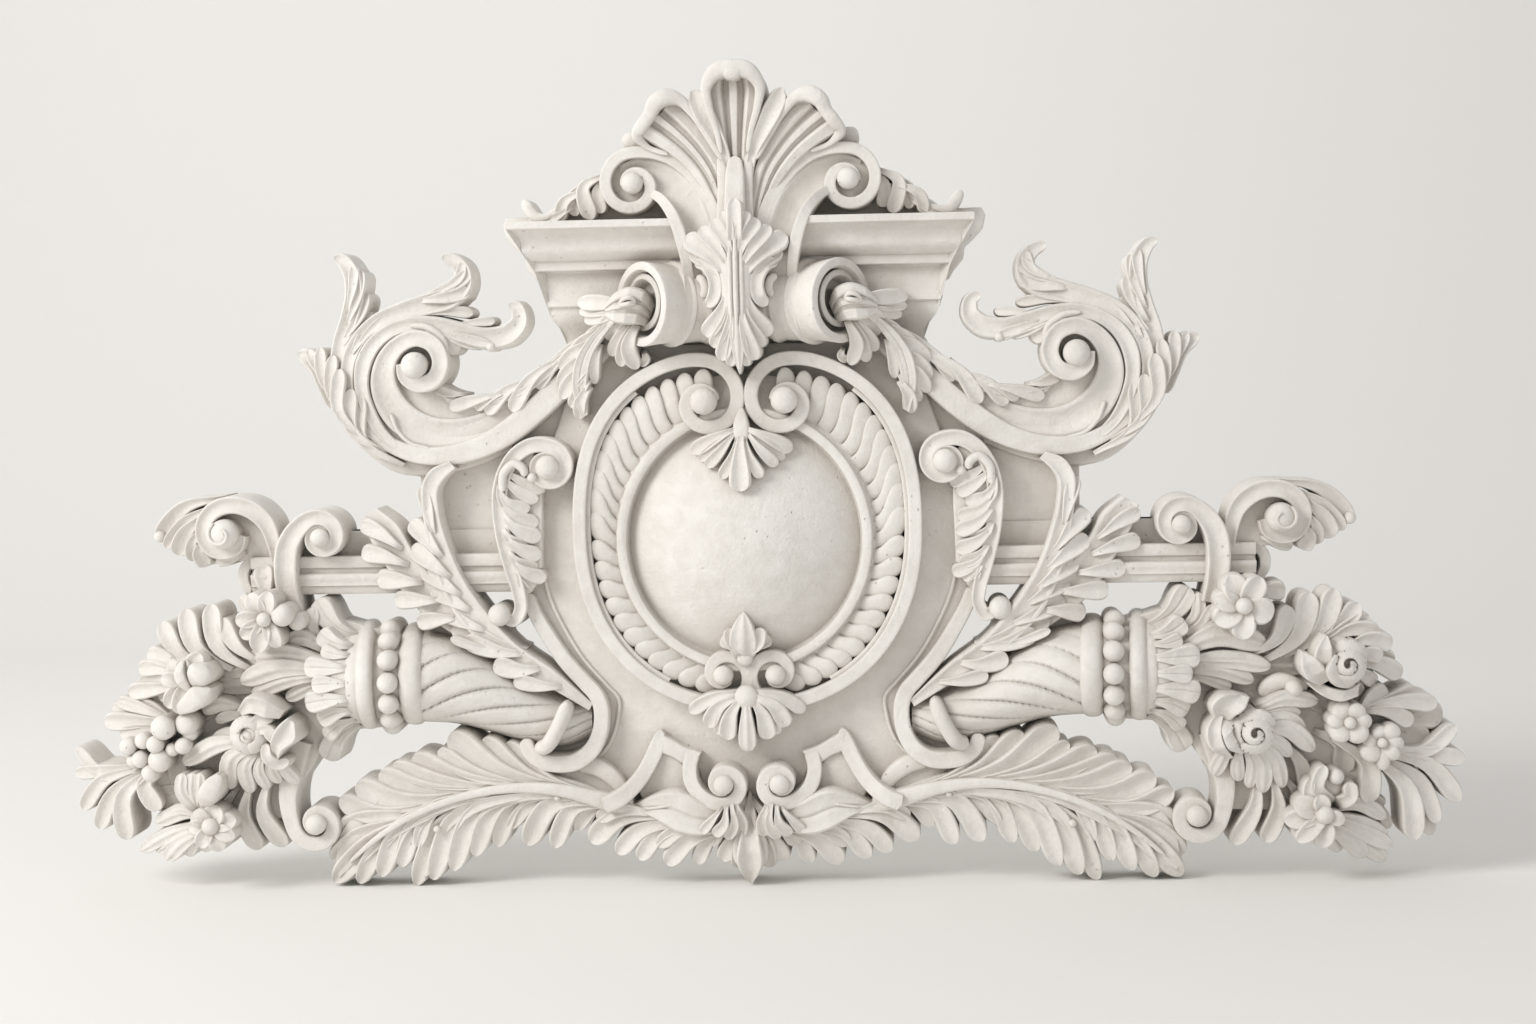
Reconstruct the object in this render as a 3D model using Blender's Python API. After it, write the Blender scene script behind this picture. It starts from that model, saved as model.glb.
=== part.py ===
"""Overdoor pediment applique, cast in one piece: an oval cartouche under a shell crest, between two cornucopias.

The origin is on the flat back, behind the middle of the oval. X runs to the right, Z up, and the carving
faces -Y. The layout below is in millimetres, as places in the plane of the back and heights above it.
"""

import math

import bmesh
import bpy
import numpy as np

MM = 0.001

# Heights above the flat back, in millimetres
OVERRUN = -12.0
GROUND = 26.0
FLOWER_BED = 44.0
STRAP = 50.0
RIM = 62.0
EYE = 72.0
CORNICE = 95.0
KEYSTONE = 114.0
BLOOM = 104.0

# Driving dimensions, in millimetres
HALF_RAIL = 505.0
RAIL_TOP = 21.0
RAIL_FOOT = -42.0
OVAL_X = -3.0
OVAL_Z = 20.0
OVAL_HALF_WIDTH = 168.0
OVAL_RISE = 172.0
OVAL_DROP = 177.0
DOME_Z = 8.0
DOME_HALF_WIDTH = 116.0
DOME_HALF_HEIGHT = 120.0
GADROONS = 46
HORN_Z = -126.0
COLLAR_X = 338.0
BEADS = 7

# Finish of the mesh
VOXEL = 3.0 * MM
THIN = 0.0112

# Sections across a band: how far out, and how far below the crest, both in half widths
FLAT = ((-1.0, 0.25), (-0.8, 0.0), (0.8, 0.0), (1.0, 0.25))
ROUND = ((-1.0, 0.9), (-0.75, 0.35), (-0.3, 0.0), (0.3, 0.0), (0.75, 0.35), (1.0, 0.9))
HOLLOW = ((-1.0, 0.2), (-0.8, 0.0), (-0.45, 0.3), (0.0, 0.45), (0.45, 0.3), (0.8, 0.0), (1.0, 0.2))


def spline(points, count):
    """Rows of numbers read at even steps along a smooth curve through the points given."""
    rows = np.array(points, float)
    chord = np.hypot(*np.diff(rows[:, :2], axis=0).T)
    knots = np.concatenate([[0.0], np.cumsum(chord)])
    slopes = np.gradient(rows, knots, axis=0)
    at = np.linspace(0.0, knots[-1], count)
    low = np.clip(np.searchsorted(knots, at, side="right") - 1, 0, len(knots) - 2)
    span = (knots[low + 1] - knots[low])[:, None]
    t = (at - knots[low])[:, None] / span
    start = (2 * t**3 - 3 * t**2 + 1) * rows[low] + (t**3 - 2 * t**2 + t) * span * slopes[low]
    return start + (3 * t**2 - 2 * t**3) * rows[low + 1] + (t**3 - t**2) * span * slopes[low + 1]


def spiral(centre, start, turn, radii, widths, heights):
    """Points (x, z, half width, height) of a volute that winds from its outside to its eye."""
    steps = max(4, round(abs(turn) / 30))
    rows = []
    for k in range(steps + 1):
        share = k / steps
        angle = math.radians(start + turn * share)
        radius = radii[0] * (radii[1] / radii[0]) ** share
        rows.append(
            (
                centre[0] + radius * math.cos(angle),
                centre[1] + radius * math.sin(angle),
                widths[0] + (widths[1] - widths[0]) * share,
                heights[0] + (heights[1] - heights[0]) * share,
            )
        )
    return rows


class Relief:
    """Carving in one mesh. A place (x, z, height) is in millimetres, and side mirrors it left for right."""

    def __init__(self):
        self.bm = bmesh.new()
        self.side = 1.0
        self.blanks = {}

    def blank(self, around, count):
        """A ball of as many rows and columns as a tube needs, and the row and column of each of its vertices."""
        if (around, count) not in self.blanks:
            ball = bmesh.new()
            bmesh.ops.create_uvsphere(ball, u_segments=around, v_segments=count + 1, radius=1.0)
            places = np.array([vert.co for vert in ball.verts])
            mesh = bpy.data.meshes.new("blank")
            ball.to_mesh(mesh)
            ball.free()
            rows = np.rint(np.arccos(np.clip(places[:, 2], -1.0, 1.0)) / math.pi * (count + 1)).astype(int)
            turns = np.arctan2(places[:, 1], places[:, 0]) / math.tau
            self.blanks[around, count] = (mesh, rows, np.rint(turns * around).astype(int) % around)
        return self.blanks[around, count]

    def tube(self, rings):
        """A closed tube: a ball whose rows of vertices are moved onto rings of places."""
        rings = np.array(rings, float)
        mesh, rows, columns = self.blank(rings.shape[1], rings.shape[0])
        ends = np.repeat(rings[[0, -1]].mean(axis=1, keepdims=True), rings.shape[1], axis=1)
        places = np.concatenate([ends[:1], rings, ends[1:]])[rows, columns]
        spots = np.stack([self.side * places[:, 0], -places[:, 2], places[:, 1]], axis=1) * MM
        mesh.vertices.foreach_set("co", spots.astype(np.float32).ravel())
        self.bm.from_mesh(mesh)

    def band(self, points, section=FLAT, count=0, foot=OVERRUN, draft=1.12):
        """A band along points of (x, z, half width, height), from its section down to its foot."""
        rows = spline(points, count or 3 * len(points))
        along = np.gradient(rows[:, :2], axis=0)
        along /= np.maximum(np.hypot(along[:, 0], along[:, 1]), 1e-6)[:, None]
        out = np.stack([-along[:, 1], along[:, 0]], axis=1)
        rings = []
        for (x, z, width, height), (nx, nz) in zip(rows, out):
            width = max(width, 0.6)
            low = min(foot, height - 2.0)
            ring = [(x - nx * width * draft, z - nz * width * draft, low)]
            for across, drop in section:
                top = max(height - drop * width, low + 1.0)
                ring.append((x + nx * across * width, z + nz * across * width, top))
            ring.append((x + nx * width * draft, z + nz * width * draft, low))
            rings.append(ring)
        self.tube(rings)

    def lobe(self, base, tip, along, width, heights, bend=0.5, section=HOLLOW, foot=OVERRUN):
        """One lobe of a leaf: it leaves base in the direction along and bends to a round tip."""
        base, tip, along = np.array(base), np.array(tip), np.array(along)
        middle = base + along * bend * np.hypot(*(tip - base))
        rows = []
        for s, swell in ((0.0, 0.6), (0.25, 0.75), (0.5, 0.95), (0.75, 1.0), (0.9, 0.8), (1.0, 0.3)):
            x, z = (1 - s) ** 2 * base + 2 * s * (1 - s) * middle + s * s * tip
            rows.append((x, z, width * swell, heights[0] + (heights[1] - heights[0]) * s))
        self.band(rows, section, count=8, foot=foot)

    def leaf(self, rib, lobes, width, spread=0.0, foot=OVERRUN):
        """A leaf: a rib of (x, z, height), and lobes of (share of the rib, tip x, tip z), widening its body."""
        points = [(x, z, max(2.5, spread * (1 - k / len(rib))), h) for k, (x, z, h) in enumerate(rib)]
        rows = spline(points, 41)
        for share, x, z, *size in lobes:
            at = min(int(share * 40), 39)
            step = rows[at + 1, :2] - rows[at, :2]
            start, high = rows[at, :2], rows[at, 3]
            tip_high = size[1] if len(size) > 1 else high - 6.0
            wide = size[0] if size else width
            self.lobe(start, (x, z), step / np.hypot(*step), wide, (high - 3.0, tip_high), foot=foot)
        self.band(points, ROUND, count=4 * len(rib), foot=foot)

    def ball(self, x, z, radius, height, flat=1.0):
        """A bead or the eye of a volute: a ball whose crown is at height, on a stalk down to the back."""
        rings = []
        for k in range(1, 6):
            lift = math.cos(k * math.pi / 10)
            reach = radius * math.sin(k * math.pi / 10)
            level = height - radius * flat * (1 - lift)
            rings.append(self.round_ring(x, z, reach, reach, level))
        rings.append(self.round_ring(x, z, radius * 0.9, radius * 0.9, OVERRUN))
        self.tube(rings)

    def round_ring(self, x, z, wide, high, level, count=12):
        """Places around an ellipse."""
        return [
            (x + wide * math.cos(math.tau * k / count), z + high * math.sin(math.tau * k / count), level)
            for k in range(count)
        ]

    def slab(self, outline, height):
        """A flat ground: its outline as a face, extruded from the overrun to its height."""
        verts = [self.bm.verts.new((self.side * x * MM, -OVERRUN * MM, z * MM)) for x, z in outline]
        face = self.bm.faces.new(verts)
        raised = bmesh.ops.extrude_face_region(self.bm, geom=[face])["geom"]
        moved = [item for item in raised if isinstance(item, bmesh.types.BMVert)]
        bmesh.ops.translate(self.bm, verts=moved, vec=(0.0, -(height - OVERRUN) * MM, 0.0))

    def moulding(self, start, profile, end, draft=14.0):
        """A moulding along X: a profile of (z, height), mitred where it ends and drafted towards the back."""
        points = [(profile[0][0], OVERRUN)] + list(profile) + [(profile[-1][0], OVERRUN)]
        rings = []
        for share in (0.0, 0.5, 1.0):
            ring = []
            for z, height in points:
                far = end(height) + draft * max(0.0, 1.0 - height / GROUND)
                ring.append((start + (far - start) * share, z, height))
            rings.append(ring)
        self.tube(rings)

    def blossom(self, x, z, reach, petals, height, turn=0.0, heart=0.3):
        """A flower of round petals about a raised heart."""
        for k in range(petals):
            angle = math.radians(turn) + math.tau * k / petals
            way = (math.cos(angle), math.sin(angle))
            tip = (x + reach * way[0], z + reach * way[1])
            wide = reach * math.sin(math.pi / petals) * 0.86
            self.lobe((x, z), tip, way, wide, (height - 6.0, height - 4.0), 0.4, ROUND)
        self.ball(x, z, reach * heart, height + 3.0)


def both(build, relief):
    """Builds a half of the carving on the right, and mirrored on the left."""
    for relief.side in (1.0, -1.0):
        build(relief)
    relief.side = 1.0


def grounds(r):
    """The flat grounds that everything stands on."""
    r.slab([(-1, 318), (70, 318), (182, 205), (196, 170), (240, 115), (300, 90), (333, 84), (333, RAIL_TOP),
            (HALF_RAIL, RAIL_TOP), (HALF_RAIL, RAIL_FOOT), (240, RAIL_FOOT), (224, -55), (194, -119),
            (150, -156), (150, -212), (130, -262), (-1, -272)], GROUND)
    r.slab([(-1, 300), (52, 300), (64, 336), (90, 352), (100, 388), (76, 396), (70, 412), (40, 430),
            (24, 446), (-1, 452)], GROUND)
    r.slab([(60, 318), (150, 318), (146, 350), (100, 362), (66, 340)], GROUND)
    r.slab([(236, 122), (300, 92), (345, 84), (400, 112), (424, 160), (404, 212), (370, 236), (330, 234),
            (302, 214), (296, 180), (316, 140), (270, 130)], GROUND)
    r.slab([(150, -156), (192, -136), (238, -96), (250, -64), (276, -58), (330, -84), (330, -150), (232, -188),
            (190, -214), (150, -206)], GROUND)
    r.slab([(372, -80), (450, -56), (540, -86), (632, -112), (660, -180), (648, -222), (606, -262),
            (560, -284), (520, -276), (466, -278), (462, -236), (446, -214), (430, -182), (372, -178)], FLOWER_BED)


def cornice(r):
    """The broken cornice: fillet, cyma, lower fillet, frieze and its ogee foot."""
    profile = [(327, 60), (327, CORNICE), (319, CORNICE), (317, 90), (309, 76), (299, 68), (289, 66), (288, 62),
               (278, 62), (277, 46), (250, 46), (243, 42), (230, 32), (206, 30)]
    r.moulding(20.0, profile, lambda height: 195.0 + 0.66 * max(0.0, height - 42.0) - 0.9 * max(0.0, 42.0 - height))


def crest(r):
    """The shell crest: its side lobes and the scroll that springs from the keystone."""
    r.lobe((6, 350), (45, 447), (0.15, 1.0), 11, (50, 62))
    r.lobe((12, 350), (50, 438), (0.4, 0.9), 6, (46, 54))
    r.lobe((16, 344), (72, 440), (0.3, 0.95), 18, (46, 66))
    r.lobe((22, 350), (96, 416), (0.5, 0.85), 14, (44, 60))
    r.ball(109, 407, 8, 40)
    r.band([(38, 296, 20, 44), (50, 330, 20, 42), (66, 356, 18, 40), (86, 372, 14, 38)], HOLLOW)
    r.band([(22, 318, 7, 58), (30, 342, 7, 58), (44, 363, 7, 58), (62, 381, 7, 60)]
           + spiral((107, 363), 112, -440, (33, 12), (7, 5), (60, 56)), FLAT)
    r.band([(54, 300, 6, 50), (60, 322, 6, 50), (71, 344, 6, 50), (90, 358, 5, 50)], FLAT)
    r.ball(108, 363, 12, 70)
    for base, tip, wide in (((137, 352), (147, 327), 7), ((150, 352), (175, 331), 8), ((165, 338), (190, 330), 8),
                            ((185, 332), (219, 346), 8)):
        r.lobe(base, tip, (0.9, 0.1), wide, (46, 42))
    r.band([(128, 356, 9, 44), (160, 345, 9, 44), (190, 334, 7, 42), (214, 332, 5, 40)], ROUND)


def keystone(r):
    """The cushion volute beside the keystone, its curled leaf head and the leaves below it."""
    stack = ((30, 34, 36, OVERRUN), (30, 34, 36, 52), (38, 34, 38, 66), (52, 34, 40, 80), (66, 34, 41, 92),
             (84, 32, 41, 104), (96, 31, 42, KEYSTONE), (101, 27, 38, KEYSTONE), (101, 19, 30, KEYSTONE - 2),
             (101, 18, 29, KEYSTONE - 20))
    r.tube([r.round_ring(x, 243, wide, high, level, 16) for x, wide, high, level in stack])
    r.band([(84, 240, 8, 104), (103, 246, 15, 108), (124, 240, 11, 96), (140, 226, 10, 80), (160, 222, 4, 66)], ROUND)
    for base, tip, wide in (((112, 243), (161, 247), 8), ((118, 238), (160, 230), 8), ((124, 232), (146, 216), 8)):
        r.lobe(base, tip, (1.0, 0.1), wide, (88, 62))
    r.leaf([(112, 232, 84), (118, 212, 72), (112, 188, 62)],
           ((0.2, 132, 209), (0.4, 133, 194), (0.55, 124, 184), (0.5, 101, 190)), 8, 8)
    r.leaf([(128, 228, 78), (150, 198, 66), (163, 166, 60), (158, 132, 56)],
           ((0.15, 159, 202), (0.3, 183, 184), (0.45, 184, 168), (0.6, 183, 154), (0.75, 172, 140),
            (0.7, 148, 150), (0.85, 158, 132)), 9, 12)


def middle_leaf(r):
    """The acanthus that covers the keystone, and the shell's middle flute above it."""
    r.lobe((-3, 345), (-4, 470), (0.0, 1.0), 27, (56, 74), section=HOLLOW)
    r.band([(-34, 455, 7, 70), (-20, 471, 9, 78), (-4, 474, 9, 80), (14, 470, 9, 78), (24, 456, 7, 70)], ROUND)
    r.band([(-3, 330, 12, 70), (-4, 365, 9, 62), (-4, 390, 7, 60)], ROUND)
    for side in (1, -1):
        for share, (x, z) in enumerate(((18, 322), (36, 310), (42, 286), (38, 262), (26, 240))):
            r.lobe((-2, 300 - 24 * share), (-2 + side * x, z), (side * 0.5, 1.0), 9, (112 - 3 * share, 104 - 5 * share), 0.7)
        for share, (x, z) in enumerate(((26, 206), (20, 192), (12, 182))):
            r.lobe((-2, 238 - 12 * share), (-2 + side * x, z), (side * 0.4, -1.0), 8, (104 - 5 * share, 84 - 4 * share))
    r.band([(-2, 342, 7, 116), (-2, 300, 9, 120), (-2, 250, 8, 112), (-2, 205, 8, 96), (-1, 174, 3, 78)], ROUND)
    r.band([(-2, 330, 20, 96), (-2, 290, 30, 100), (-2, 250, 24, 92), (-2, 210, 18, 80), (-2, 186, 8, 70)], ROUND)


def oval_place(angle, grow):
    """A place on the squarish oval of the rim, moved out by grow."""
    c, s = math.cos(angle), math.sin(angle)
    power, height = (0.80, OVAL_RISE) if s > 0 else (0.90, OVAL_DROP)
    x = (OVAL_HALF_WIDTH - 2 + grow) * math.copysign(abs(c) ** power, c)
    return x, OVAL_Z + (height + grow) * math.copysign(abs(s) ** power, s)


def cartouche(r):
    """One side of the oval frame: the rim that ends in two volutes, and the hollow inside it."""
    sweep = [oval_place(math.radians(a), 0.0) + (8.5, RIM) for a in range(-72, 73, 9)]
    foot = spiral((27, -126), -60, -430, (30, 11), (6, 5), (RIM, 64))
    head = spiral((42, 145), 78, 440, (45, 16), (8, 6), (RIM, 68))
    r.band(foot[::-1] + sweep[1:-1] + head, FLAT, count=110)
    r.ball(42, 145, 14, EYE + 4)
    r.ball(27, -126, 10, EYE)


def oval_field(r):
    """The dome, its inner rim and the ring of gadroons."""
    rings = [r.round_ring(OVAL_X, DOME_Z, 160, 168, OVERRUN, 48), r.round_ring(OVAL_X, DOME_Z, 160, 168, 42, 48),
             r.round_ring(OVAL_X, DOME_Z, 129, 134, 46, 48), r.round_ring(OVAL_X, DOME_Z, 127, 132, 56, 48),
             r.round_ring(OVAL_X, DOME_Z, 120, 125, 56, 48), r.round_ring(OVAL_X, DOME_Z, 117, 121, 44, 48)]
    for share in (0.95, 0.8, 0.6, 0.35):
        rings.append(r.round_ring(OVAL_X, DOME_Z, DOME_HALF_WIDTH * share, DOME_HALF_HEIGHT * share,
                                  44 + 20 * (1 - share**2), 48))
    r.tube(rings)
    for k in range(GADROONS):
        angle = math.tau * (k + 0.5) / GADROONS
        x, z = oval_place(angle, -15.0)
        inner = (OVAL_X + 129 * math.cos(angle), DOME_Z + 134 * math.sin(angle))
        way = np.array((x + OVAL_X - inner[0], z - inner[1]))
        r.lobe(inner, (x + OVAL_X, z), way / np.hypot(*way), 10.0, (54, 56), 0.5, ROUND)
    for x, z in ((46, 100), (34, 84), (18, 72), (0, 58), (-18, 72), (-36, 84), (-50, 100)):
        r.lobe((-3, 118), (x, z), (0.01 * x, -1.0), 8, (72, 64), 0.4)
    for x, z in ((56, -162), (38, -178), (18, -190), (-1, -203), (-22, -190), (-42, -180), (-60, -163)):
        r.lobe((-2, -138), (x, z), (0.01 * x, -1.0), 8.5, (70, 62), 0.4)
    for x, z, wide in ((-3, -64, 9), (20, -88, 8), (-26, -88, 8), (10, -80, 8), (-16, -80, 8)):
        r.lobe((-3, -116), (x, z), (0.01 * x, 1.0), wide, (68, 64), 0.4)


def scroll(r):
    """The great C-scroll with the leaves that leave its back."""
    r.band([(132, 215, 11, 52), (186, 162, 12, STRAP), (236, 121, 13, STRAP), (268, 102, 13, STRAP), (306, 93, 14, STRAP),
            (346, 96, 15, STRAP), (382, 112, 15, STRAP), (406, 137, 14, STRAP), (421, 165, 12, STRAP),
            (428, 190, 8, 44)], FLAT)
    r.band([(150, 212, 12, 38), (200, 168, 14, 38), (246, 138, 16, 38), (290, 126, 20, 38), (330, 130, 24, 38),
            (358, 150, 26, 38), (366, 180, 26, 38), (352, 210, 24, 38), (326, 222, 16, 38)], HOLLOW)
    r.band([(154, 218, 6, 56), (200, 180, 9, 54), (222, 164, 10, 52), (252, 150, 11, 50), (284, 148, 10, 48),
            (312, 154, 9, 48)], ROUND)
    for tip in ((236, 139), (262, 137), (296, 144)):
        r.lobe((tip[0] - 34, tip[1] + 27), tip, (0.9, -0.5), 8, (54, 50))
    r.band([(340, 122, 7, 46), (362, 140, 8, 50), (373, 166, 8, 54), (366, 196, 8, 56), (348, 214, 8, 58)]
           + spiral((328, 188), 70, 470, (29, 11), (8, 5), (60, 56)), FLAT)
    r.band([(366, 124, 6, 48), (384, 146, 6, 50), (389, 176, 6, 52), (378, 206, 6, 54), (354, 224, 7, 54),
            (322, 230, 9, 54), (292, 222, 11, 52), (256, 217, 11, 48), (232, 222, 10, 46), (222, 238, 6, 44),
            (232, 246, 4, 44)], FLAT)
    for tip in ((254, 206), (264, 204), (286, 200), (300, 212)):
        r.lobe((tip[0] + 40, 226), tip, (-1.0, -0.1), 8, (50, 42))
    r.band([(388, 120, 6, 48), (404, 148, 6, 50), (407, 180, 7, 50), (396, 212, 8, 52), (372, 234, 8, 52),
            (340, 247, 9, 52), (308, 254, 10, 50), (288, 264, 9, 46), (282, 282, 7, 44), (290, 294, 5, 44),
            (302, 296, 4, 44)], FLAT)
    r.lobe((340, 240), (276, 238), (-1.0, 0.1), 9, (48, 42))
    r.lobe((300, 258), (276, 268), (-0.8, 0.6), 8, (46, 42))
    r.band([(412, 172, 9, 48), (408, 206, 10, 48), (397, 240, 11, 48), (392, 268, 10, 46), (396, 288, 8, 44),
            (410, 297, 5, 42)], HOLLOW)
    for x, z in ((380, 240), (379, 262), (384, 282)):
        r.lobe((x + 22, z - 26), (x, z), (-0.3, 1.0), 7, (46, 42))
    r.band([(424, 150, 8, 46), (428, 180, 8, 46), (436, 196, 8, 42), (452, 200, 6, 38)], ROUND)
    for x, z in ((401, 184), (395, 164), (385, 156), (412, 196), (430, 206)):
        r.lobe((x + 4, z - 46), (x, z), (0.5, 0.9), 7, (54, 56))
    r.ball(328, 188, 13, EYE)


def bracket(r):
    """The bracket beside the cartouche: a volute above, a leafy band, and a small scroll at its foot."""
    band = [(224, -44, 10, 54), (240, -40, 10, 56), (245, -10, 10, 58), (250, 25, 10, 60), (247, 62, 10, 62),
            (236, 88, 10, 62)]
    r.band(band[1:] + spiral((201, 83), 42, 430, (29, 12), (9, 5), (62, 60)), FLAT, count=44)
    r.band([(241, -38, 9, 56), (246, -60, 10, 60), (252, -70, 7, 60)], FLAT)
    r.ball(251, -63, 12, 64)
    r.ball(201, 83, 13, EYE)
    r.ball(218, 76, 7, 62)
    r.band([(252, -72, 6, 46), (236, -72, 7, 46), (226, -56, 7, 46)], ROUND)
    for share, (x, z) in enumerate(((206, 58), (204, 44), (208, 24), (206, 6), (204, -12), (204, -30), (216, -46))):
        r.lobe((244, 72 - 17 * share), (x, z), (-0.7, -0.7), 9, (58, 48), 0.4)


def branches(r):
    """The two leafy branches that rise over the rail."""
    r.leaf([(158, -160, 40), (200, -136, 44), (236, -104, 48), (264, -66, 52), (286, -26, 54), (303, 18, 54),
            (311, 58, 54), (308, 80, 52)],
           ((0.97, 325, 76), (0.80, 339, 50), (0.70, 341, 22), (0.60, 338, -2), (0.52, 325, -25), (0.44, 316, -46),
            (0.62, 288, 12), (0.25, 258, -115), (0.2, 238, -131)), 9, 13)
    r.leaf([(236, -112, 44), (262, -88, 46), (300, -58, 48), (330, -28, 50), (354, 2, 50), (372, 34, 48)],
           ((0.95, 388, 30), (0.7, 387, 0), (0.55, 371, -26), (0.4, 354, -47), (0.25, 333, -68), (0.12, 300, -77),
            (0.05, 287, -87)), 9, 11)


def rail(r):
    """The moulded rail that carries the branches and the wings."""
    profile = [(-3, 34), (-4, 46), (-15, 46), (-16, 40), (-20, 40), (-21, 50), (-33, 50), (-34, 42), (-42, 40)]
    r.moulding(236.0, profile, lambda height: HALF_RAIL, draft=4.0)


def wing(r):
    """The two volutes at the end of the rail, with their leaf."""
    r.band([(462, -60, 12, 56), (466, -24, 12, 58), (464, 4, 12, 60), (454, 24, 11, 62)]
           + spiral((431, 17), 50, 430, (20, 10), (9, 5), (62, 60)), HOLLOW, count=40)
    r.ball(431, 17, 11, EYE)
    r.band([(482, -24, 9, 44), (484, 6, 9, 50), (494, 34, 9, 54), (510, 48, 9, 56)]
           + spiral((526, 22), 90, -300, (29, 20), (9, 6), (58, 54)), HOLLOW, count=36)
    r.ball(526, 22, 16, 68)
    r.band([(500, -4, 9, 40), (530, -4, 9, 42), (566, 6, 9, 44), (590, 16, 7, 42), (600, 24, 4, 40)], ROUND)
    for base, tip in (((550, 40), (575, 32)), ((556, 32), (594, 24)), ((560, 20), (602, 16)), ((556, 8), (584, 0)),
                      ((545, 0), (566, -4))):
        r.lobe(base, tip, (0.9, -0.3), 8, (46, 40))
    r.ball(510, -18, 10, 38)


def cornucopia(r):
    """The horn of plenty: a fluted horn, its collar of beads and its leafy mouth."""
    centre = spline([(178, -176, 13, 50), (214, -164, 24, 58), (262, -142, 37, 70), (302, -128, 44, 80),
                     (340, HORN_Z, 47, 84)], 14)
    rings = []
    for x, z, half, crest in centre:
        ring = [(x, z - half, OVERRUN)]
        for k in range(9):
            angle = math.pi * (k / 8 - 0.5)
            flute = 1.0 + 0.05 * math.cos(2 * math.pi * (0.030 * x - 0.9 * math.sin(angle)))
            ring.append((x, z + half * math.sin(angle), 26 + (crest - 26) * math.cos(angle) * flute))
        ring.append((x, z + half, OVERRUN))
        rings.append(ring)
    r.tube(rings)
    for x, wide, half, crest in ((COLLAR_X, 12, 51, 92), (358, 8, 46, 84), (387, 8, 55, 94), (410, 26, 56, 86)):
        rings = []
        for across, drop in ((-1.0, 8), (-0.8, 3), (0.0, 0), (0.8, 3), (1.0, 8)):
            ring = [(x + across * wide, HORN_Z - half, OVERRUN)]
            for k in range(9):
                angle = math.pi * (k / 8 - 0.5)
                reach = half - drop
                ring.append((x + across * wide, HORN_Z + reach * math.sin(angle), 26 + (crest - 26 - drop) * math.cos(angle)))
            ring.append((x + across * wide, HORN_Z + half, OVERRUN))
            rings.append(ring)
        r.tube(rings)
    for k in range(BEADS):
        angle = math.pi * ((k + 0.5) / BEADS - 0.5)
        r.ball(359, HORN_Z + 49 * math.sin(angle), 9.5, 40 + 58 * math.cos(angle))
    for k, (x, z) in enumerate(((437, -52), (436, -82), (448, -108), (452, -130), (448, -150), (436, -172), (432, -206))):
        r.lobe((392, HORN_Z + 15 * (3 - k)), (x, z), (1.0, 0.0), 12, (88 - 4 * abs(3 - k), 84 - 6 * abs(3 - k)), 0.6)
    r.band([(218, -36, 6, 42), (214, -62, 6, 42), (186, -114, 6, 44), (148, -154, 7, 48), (157, -196, 8, 54),
            (186, -214, 9, 58), (216, -210, 9, 60), (229, -194, 6, 58)], FLAT, count=26)
    r.band([(184, -150, 8, 66), (200, -176, 10, 74), (214, -202, 8, 66)], ROUND)


def flowers(r):
    """The fruit, flowers and leaves that pour out of the horn."""
    for x, z, reach, petals, height, turn in ((487, -62, 30, 5, 92, 20), (498, -188, 36, 6, 100, 0),
                                              (583, -120, 36, 6, BLOOM, 10), (590, -181, 20, 5, 86, 0),
                                              (624, -200, 22, 5, 80, 30), (562, -272, 32, 6, 84, 10),
                                              (574, -236, 20, 4, 88, 45), (540, -146, 20, 4, 82, 0)):
        r.blossom(x, z, reach, petals, height, turn)
    sprays = (
        ((512, -110), ((512, -64), (538, -62), (560, -50), (585, -48), (608, -62), (620, -80)), 10, 62),
        ((590, -124), ((626, -92), (640, -108), (644, -126), (650, -140), (622, -150)), 9, 60),
        ((606, -168), ((634, -150), (662, -148), (684, -163), (690, -180), (658, -188)), 10, 58),
        ((622, -214), ((702, -190), (711, -222), (708, -264), (688, -286), (664, -304), (616, -262)), 11, 56),
        ((580, -262), ((556, -304), (586, -314), (613, -321), (636, -326), (640, -308), (630, -282)), 11, 54),
        ((496, -196), ((560, -160), (552, -190), (560, -209), (542, -226), (530, -248), (506, -252), (482, -240)), 9, 72),
        ((430, -128), ((514, -104), (518, -126), (504, -142), (478, -154)), 11, 72),
        ((500, -224), ((478, -308), (514, -306), (452, -232)), 10, 54),
    )
    for base, tips, wide, height in sprays:
        for x, z in tips:
            way = np.array((x - base[0], z - base[1]), float)
            r.lobe(base, (x, z), way / np.hypot(*way), wide, (height, height - 10), 0.5)
    r.band([(456, -200, 12, 60), (458, -236, 10, 58), (458, -262, 9, 56)]
           + spiral((444, -276), 20, -400, (22, 10), (8, 5), (56, 56)), FLAT, count=36)
    r.ball(444, -276, 11, 66)


def acanthus(r):
    """The long acanthus leaf that lies along the foot."""
    r.leaf([(120, -262, 50), (160, -246, 52), (201, -235, 56), (250, -236, 60), (310, -250, 62), (360, -272, 58),
            (402, -306, 52), (430, -334, 46)],
           ((0.28, 250, -195), (0.38, 274, -191), (0.46, 307, -187), (0.50, 318, -202), (0.58, 343, -210),
            (0.64, 364, -219), (0.69, 382, -229), (0.76, 404, -240), (0.84, 422, -256), (0.92, 436, -290),
            (0.02, 168, -302), (0.08, 203, -303), (0.18, 238, -300), (0.28, 265, -302), (0.38, 288, -311),
            (0.48, 310, -326), (0.56, 330, -335), (0.64, 349, -341), (0.70, 366, -326), (0.78, 382, -334),
            (0.86, 404, -338)), 12, 24)


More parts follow.
